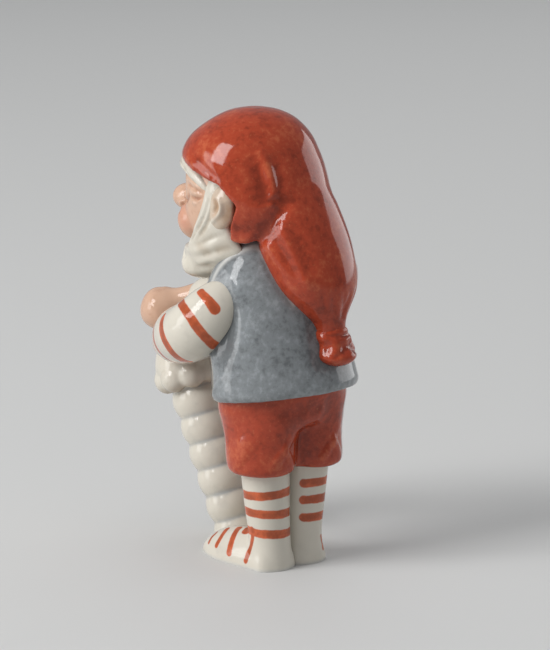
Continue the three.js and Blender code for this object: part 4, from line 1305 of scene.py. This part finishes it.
class GNOME_OT_cap(Operator):
    """Models the cap with its hanging tail, and the gathered tassel at its end"""

    bl_idname = "gnome.cap"
    bl_label = "Cap"

    WIDTH = 38.6
    NAPE = 7.0
    HEIGHT = 32.4
    # Share of the height, y and share of the width
    CROWN = (
        (0, 2.8, 0.8),
        (0.15, 1.6, 0.94),
        (0.335, 0.2, 1),
        (0.524, -0.8, 0.966),
        (0.65, -1.6, 0.92),
        (0.78, -1.4, 0.805),
        (0.9, -0.5, 0.585),
        (0.97, -0.3, 0.36),
        (1, -0.3, 0.13),
    )
    RIM_RISE = 21.5
    RIM_SLOPE = 0.3
    RIM_SETBACK = 6.8
    RIM_ROUND = 5.0
    NAPE_CURL = 4.0
    TAIL_WIDTH = 28.0
    TAIL_DEPTH = 22.4
    TAIL_HEIGHT = 38.0
    TAIL_TOP = 22.0
    TAIL_SWING = 23.6
    # Shares of the height down from the top, of the swing, of the width and of the depth
    TAIL = (
        (1.08, 1.02, 0.26, 0.3),
        (1, 1, 0.3, 0.35),
        (0.94, 0.97, 0.37, 0.4),
        (0.87, 0.93, 0.54, 0.54),
        (0.7, 0.83, 0.86, 0.85),
        (0.434, 0.66, 1, 1),
        (0.16, 0.46, 0.97, 0.99),
        (0, 0.29, 0.9, 1.03),
        (-0.15, 0.08, 0.8, 1.12),
    )
    TASSEL_WIDTH = 11.6
    TASSEL_DEPTH = 9.8
    TASSEL_HEIGHT = 10
    TASSEL_LAP = 0.6
    # Share of the height down from the top, y behind the tail, and share of the width and the depth
    TASSEL = ((1, 2.4, 0.94), (0.7, 2.2, 1), (0.42, 1.4, 0.82), (0.24, 1, 0.9), (0, 0.4, 0.84))
    SEAM = ((-11, 13, 14), (-9, 16, 19), (0, 18.6, 22.5), (7, 17, 21), (10, 15, 18))
    CROWN_FOLDS = (
        (((258, 150), (265, 162), (270, 175), (273, 187), (275, 199)), 1.4, 0.95),
        (((252, 156), (258, 172), (262, 188), (263, 206)), 2.3, -0.9),
        (((272, 154), (278, 170), (281, 188), (282, 204)), 1.8, -0.6),
        (((269, 194), (272, 198)), 1.0, 0.3),
        (((270, 203), (273, 207)), 1.0, 0.3),
    )
    FOLDS = (
        (((250, 246), (260, 237), (270, 226), (281, 211), (288, 196)), 2.1, -1.4),
        (((270, 230), (278, 245), (289, 262), (302, 282)), 3.2, -0.9),
        (((262, 240), (272, 254), (284, 270), (298, 287)), 1.5, 0.45),
        (((278, 218), (285, 238), (294, 258), (304, 277), (312, 292)), 1.5, 0.7),
        (((289, 214), (297, 236), (306, 258), (315, 278)), 2.2, -0.5),
        (((231, 237), (241, 241), (252, 238), (262, 229)), 1.8, 0.7),
        (((232, 226), (246, 231), (259, 221)), 2.0, -0.5),
        (((185, 154), (193, 165), (204, 178), (213, 186)), 1.0, 0.4),
        (((190, 150), (199, 162), (210, 174), (220, 183)), 1.1, -0.35),
        (((321, 290), (324, 306), (326, 321)), 1.0, -0.45),
        (((332, 292), (334, 307), (334, 321)), 1.0, -0.4),
        (((344, 292), (344, 307), (342, 321)), 1.0, -0.4),
    )
    WRINKLES = (
        (((317, 332), (330, 336), (344, 335), (355, 331)), 1.0, -0.6),
        (((319, 326), (335, 330), (352, 325)), 1.0, 0.4),
        (((329, 340), (327, 350), (329, 362)), 1.0, -0.35),
        (((343, 340), (345, 350), (342, 362)), 1.2, -0.3),
        (((336, 342), (336, 356)), 1.6, 0.4),
        (((333, 361), (341, 353), (349, 346)), 0.8, -0.4),
    )

    def crown(self, point, normal):
        """The crown with what lies beyond a plane cut away."""
        bm = bmesh.new()
        rings = stacked(self.CROWN, self.NAPE, self.HEIGHT, self.WIDTH, self.WIDTH)
        loft(bm, rings, sides=64, steps=48, pose=HEAD_POSE)
        cut_away(bm, point, normal, HEAD_POSE)
        return bm

    def tail(self, bm):
        """Adds the tail that hangs down the back."""
        size = -self.TAIL_HEIGHT, self.TAIL_WIDTH, self.TAIL_DEPTH
        rings = stacked(self.TAIL, self.TAIL_TOP, *size, swing=self.TAIL_SWING)
        loft(bm, rings, sides=56, steps=48, pose=HEAD_POSE)

    def tassel(self, depth):
        """The gathered end of the tail."""
        bm = bmesh.new()
        top = self.TAIL_TOP - self.TAIL_HEIGHT + self.TASSEL_LAP
        size = -self.TASSEL_HEIGHT, self.TASSEL_WIDTH, self.TASSEL_DEPTH
        rings = stacked(self.TASSEL, top, *size, y=self.TAIL_SWING)
        loft(bm, rings, round_start=0.25, round_end=0.1, pose=HEAD_POSE)
        clay = Clay(bm, voxel=0.3, softness=8)
        fold(clay, self.WRINKLES, depth, HEAD_POSE)
        return clay

    def execute(self, context):
        depth = context.scene.gnome_shape.fold_depth
        corner = (0, self.RIM_SETBACK - self.RIM_ROUND, self.RIM_RISE)
        nape = (0, self.RIM_SETBACK - self.NAPE_CURL, self.NAPE)
        curl = self.NAPE_CURL / (self.RIM_RISE - self.RIM_ROUND - self.NAPE)
        bm = self.crown(corner, (0, -self.RIM_SLOPE, -1))
        take_in(bm, self.crown(nape, (0, -1, curl)))
        take_in(bm, self.crown(corner, (0, -1, -1)))
        self.tail(bm)
        clay = Clay(bm, voxel=0.45, softness=14)
        seam = [HEAD_POSE @ Vector(spot) for spot in self.SEAM]
        clay.soften(seam, width=4.5, rounds=80)
        fold(clay, self.CROWN_FOLDS, depth, HEAD_POSE, far=0)
        fold(clay, self.FOLDS, depth, HEAD_POSE)
        add_piece(clay, "red_cap", ["cap_crown", "cap_tail"], red_glaze())
        add_piece(self.tassel(depth), "red_tassel", ["cap_tassel"], red_glaze())
        return {"FINISHED"}


class GNOME_OT_cone(Operator):
    """Models the ribbed cone and its lobed frill"""

    bl_idname = "gnome.cone"
    bl_label = "Cone"

    TOP_WIDTH = 13.4
    TIP_WIDTH = 12.0
    TIP = Vector((-9.4, -28.4, -2.4))
    HOLD = GNOME_OT_sleeves.CUFFS[LEFT] + Vector((-13.7, -17.2, 1.8))
    RIBS = 6
    RIB_STEPS = 8
    SPIGOT = 3
    CREASE_TONE = 0.5
    CREASE_STAIN = 0.3
    STAIN_WAVES = np.array((0.6, 0.3, 0.9))
    FRILL_WIDTH = 20.0
    FRILL_HEIGHT = 19.0
    # Shares of the height and of the width
    FRILL = ((0.1, 0.7), (0.2, 0.87), (0.35, 0.94), (0.5, 0.87), (0.66, 0.72), (0.88, 0.52))
    LOBES = 8
    LOBE_WIDTH = 7.8
    LOBE_DEPTH = 7.0
    LOBE_HEIGHT = 7.6
    LOBE_RISE = 0.48
    LOBE_OUT = 0.6
    FRILL_STAIN = 0.5
    FRILL_STAIN_RISE = 0.2
    FRILL_STAIN_WIDTH = 1.4

    def cone(self, axis, length, rib_height):
        """The cone, stained in the creases between its ribs."""
        bm = bmesh.new()
        steps = self.RIBS * self.RIB_STEPS
        rings = []
        for step in range(steps + 1):
            share = step / steps
            swell = 2 * rib_height * abs(math.sin(math.pi * share * self.RIBS))
            width = self.TIP_WIDTH + (self.TOP_WIDTH - self.TIP_WIDTH) * share + swell
            rings.append(section(*(self.TIP + axis * (length * share)), width))
        rings.append(section(*(self.TIP + axis * (length + self.SPIGOT)), self.TOP_WIDTH))
        loft(bm, rings, steps=len(rings) * 2, follow=BACKWARD)
        clay = Clay(bm, voxel=0.35, softness=5)
        share = (clay.points - np.array(self.TIP)) @ np.array(axis) / length
        crease = (1 - np.abs(np.sin(np.pi * share * self.RIBS))) ** 4
        clay.tone -= self.CREASE_TONE * crease
        clay.tint += self.CREASE_STAIN * crease * (1 + np.sin(clay.points @ self.STAIN_WAVES))
        return clay

    def frill(self, axis, length):
        """The frill, with its lobes set round the axis of the cone and one towards the view."""
        bm = bmesh.new()
        top = self.TIP + axis * length
        rings = [
            section(*(top + axis * (self.FRILL_HEIGHT * rise)), self.FRILL_WIDTH * size)
            for rise, size in self.FRILL
        ]
        loft(bm, rings, round_start=0.1, round_end=0.12, follow=BACKWARD)
        facing = (VIEW_BACK - axis * VIEW_BACK.dot(axis)).normalized()
        stand = Matrix((facing, axis.cross(facing), axis)).transposed().to_4x4()
        stand.translation = top
        reach = (self.FRILL_WIDTH - self.LOBE_DEPTH) / 2 + self.LOBE_OUT
        sizes = self.LOBE_DEPTH, self.LOBE_WIDTH, self.LOBE_HEIGHT
        for lobe in range(self.LOBES):
            turn = Matrix.Rotation(2 * math.pi * lobe / self.LOBES, 4, "Z")
            ball(bm, reach, 0, self.LOBE_HEIGHT * self.LOBE_RISE, *sizes, stand @ turn)
        clay = Clay(bm, voxel=0.35, softness=18)
        rise = (clay.points - np.array(top)) @ np.array(axis)
        clay.tint += self.FRILL_STAIN * falloff(rise - self.FRILL_STAIN_RISE, self.FRILL_STAIN_WIDTH)
        return clay

    def execute(self, context):
        lean = self.HOLD - self.TIP
        axis, length = lean.normalized(), lean.length - self.FRILL_HEIGHT
        cone = self.cone(axis, length, context.scene.gnome_shape.rib_height / MM)
        add_piece(cone, "white_cone", ["cone"], white_glaze(), (FLOOR_CUT,))
        add_piece(self.frill(axis, length), "white_frill", ["cone_frill"], beard_glaze())
        return {"FINISHED"}


class GNOME_OT_stage(Operator):
    """Sets up the floor, the lights and the camera"""

    bl_idname = "gnome.stage"
    bl_label = "Stage"

    FLOOR_REACH = 3
    FLOOR_COLOUR = (0.62, 0.62, 0.61, 1)
    FLOOR_ROUGHNESS = 0.6
    SKY_COLOUR = (0.8, 0.82, 0.85, 1)
    SKY_STRENGTH = 0.35
    SENSOR = 36
    # Name, degrees round and up, metres away, width and height, watts, and whether the glaze mirrors it
    LIGHTS = (
        ("Left softbox", 80, 38, 1.8, (0.72, 1.04), 22.4, True),
        ("Left window", 60, 10, 1.8, (0.72, 1.2), 10.4, True),
        ("Right strip", 264, 6, 1.6, (1.2, 1.0), 7.6, True),
        ("Overhead", 140, 80, 1.2, (1.0, 1.0), 2.6, False),
        ("Backdrop", 320, 40, 1.5, (1.4, 1.4), 3.2, False),
    )

    def light(self, name, azimuth, elevation, distance, size, power, mirrors):
        """Hangs one lamp that points at the figure."""
        lamp = bpy.data.lights.new(name, "AREA")
        lamp.shape = "RECTANGLE"
        lamp.size, lamp.size_y = size
        lamp.energy = power
        back = direction(azimuth, elevation)
        holder = bpy.data.objects.new(name, lamp)
        holder.location = TO_FRAME @ VIEW_AIM + back * distance
        holder.visible_glossy = mirrors
        holder.rotation_euler = (-back).to_track_quat("-Z", "Y").to_euler()
        bpy.context.scene.collection.objects.link(holder)

    def floor(self):
        """Lays the floor."""
        bm = bmesh.new()
        bmesh.ops.create_grid(bm, x_segments=1, y_segments=1, size=self.FLOOR_REACH)
        mesh = bpy.data.meshes.new("floor")
        bm.to_mesh(mesh)
        bm.free()
        material = bpy.data.materials.new("Pale floor")
        material.use_nodes = True
        shader = material.node_tree.nodes["Principled BSDF"]
        shader.inputs["Base Color"].default_value = self.FLOOR_COLOUR
        shader.inputs["Roughness"].default_value = self.FLOOR_ROUGHNESS
        mesh.materials.append(material)
        floor = bpy.data.objects.new("floor", mesh)
        bpy.context.scene.collection.objects.link(floor)

    def sky(self):
        """Fills the room with a little even light."""
        world = bpy.data.worlds.new("Studio")
        world.use_nodes = True
        background = world.node_tree.nodes["Background"]
        background.inputs["Color"].default_value = self.SKY_COLOUR
        background.inputs["Strength"].default_value = self.SKY_STRENGTH
        bpy.context.scene.world = world

    def camera(self):
        """Sets the camera to the photograph's view."""
        lens = bpy.data.cameras.new("View")
        lens.sensor_width = self.SENSOR
        lens.lens = VIEW_FOCAL / VIEW_HEIGHT * lens.sensor_width
        camera = bpy.data.objects.new("View", lens)
        camera.location = TO_FRAME @ VIEW_FROM
        camera.rotation_euler = (-VIEW_BACK).to_track_quat("-Z", "Y").to_euler()
        bpy.context.scene.collection.objects.link(camera)
        bpy.context.scene.camera = camera

    def execute(self, context):
        self.floor()
        for values in self.LIGHTS:
            self.light(*values)
        self.sky()
        self.camera()
        context.scene.view_settings.view_transform = "Standard"
        return {"FINISHED"}


class GNOME_PT_panel(Panel):
    """Lists the pieces and their settings"""

    bl_idname = "GNOME_PT_panel"
    bl_label = "Porcelain Gnome"
    bl_space_type = "VIEW_3D"
    bl_region_type = "UI"
    bl_category = "Gnome"

    def draw(self, context):
        for settings in (context.scene.gnome_shape, context.scene.gnome_glaze):
            box = self.layout.box()
            for name in settings.__annotations__:
                box.prop(settings, name)
        for operator in OPERATORS:
            self.layout.operator(operator.bl_idname)


OPERATORS = (
    GNOME_OT_legs,
    GNOME_OT_breeches,
    GNOME_OT_tunic,
    GNOME_OT_sleeves,
    GNOME_OT_hands,
    GNOME_OT_head,
    GNOME_OT_hair,
    GNOME_OT_cap,
    GNOME_OT_cone,
    GNOME_OT_stage,
)
CLASSES = (GnomeShape, GnomeGlaze, *OPERATORS, GNOME_PT_panel)


def register():
    for cls in CLASSES:
        bpy.utils.register_class(cls)
    bpy.types.Scene.gnome_shape = PointerProperty(type=GnomeShape)
    bpy.types.Scene.gnome_glaze = PointerProperty(type=GnomeGlaze)


def unregister():
    del bpy.types.Scene.gnome_glaze
    del bpy.types.Scene.gnome_shape
    for cls in reversed(CLASSES):
        bpy.utils.unregister_class(cls)


def main():
    register()
    bpy.ops.gnome.legs()
    bpy.ops.gnome.breeches()
    bpy.ops.gnome.tunic()
    bpy.ops.gnome.sleeves()
    bpy.ops.gnome.hands()
    bpy.ops.gnome.head()
    bpy.ops.gnome.hair()
    bpy.ops.gnome.cap()
    bpy.ops.gnome.cone()
    bpy.ops.gnome.stage()


if __name__ == "__main__":
    main()
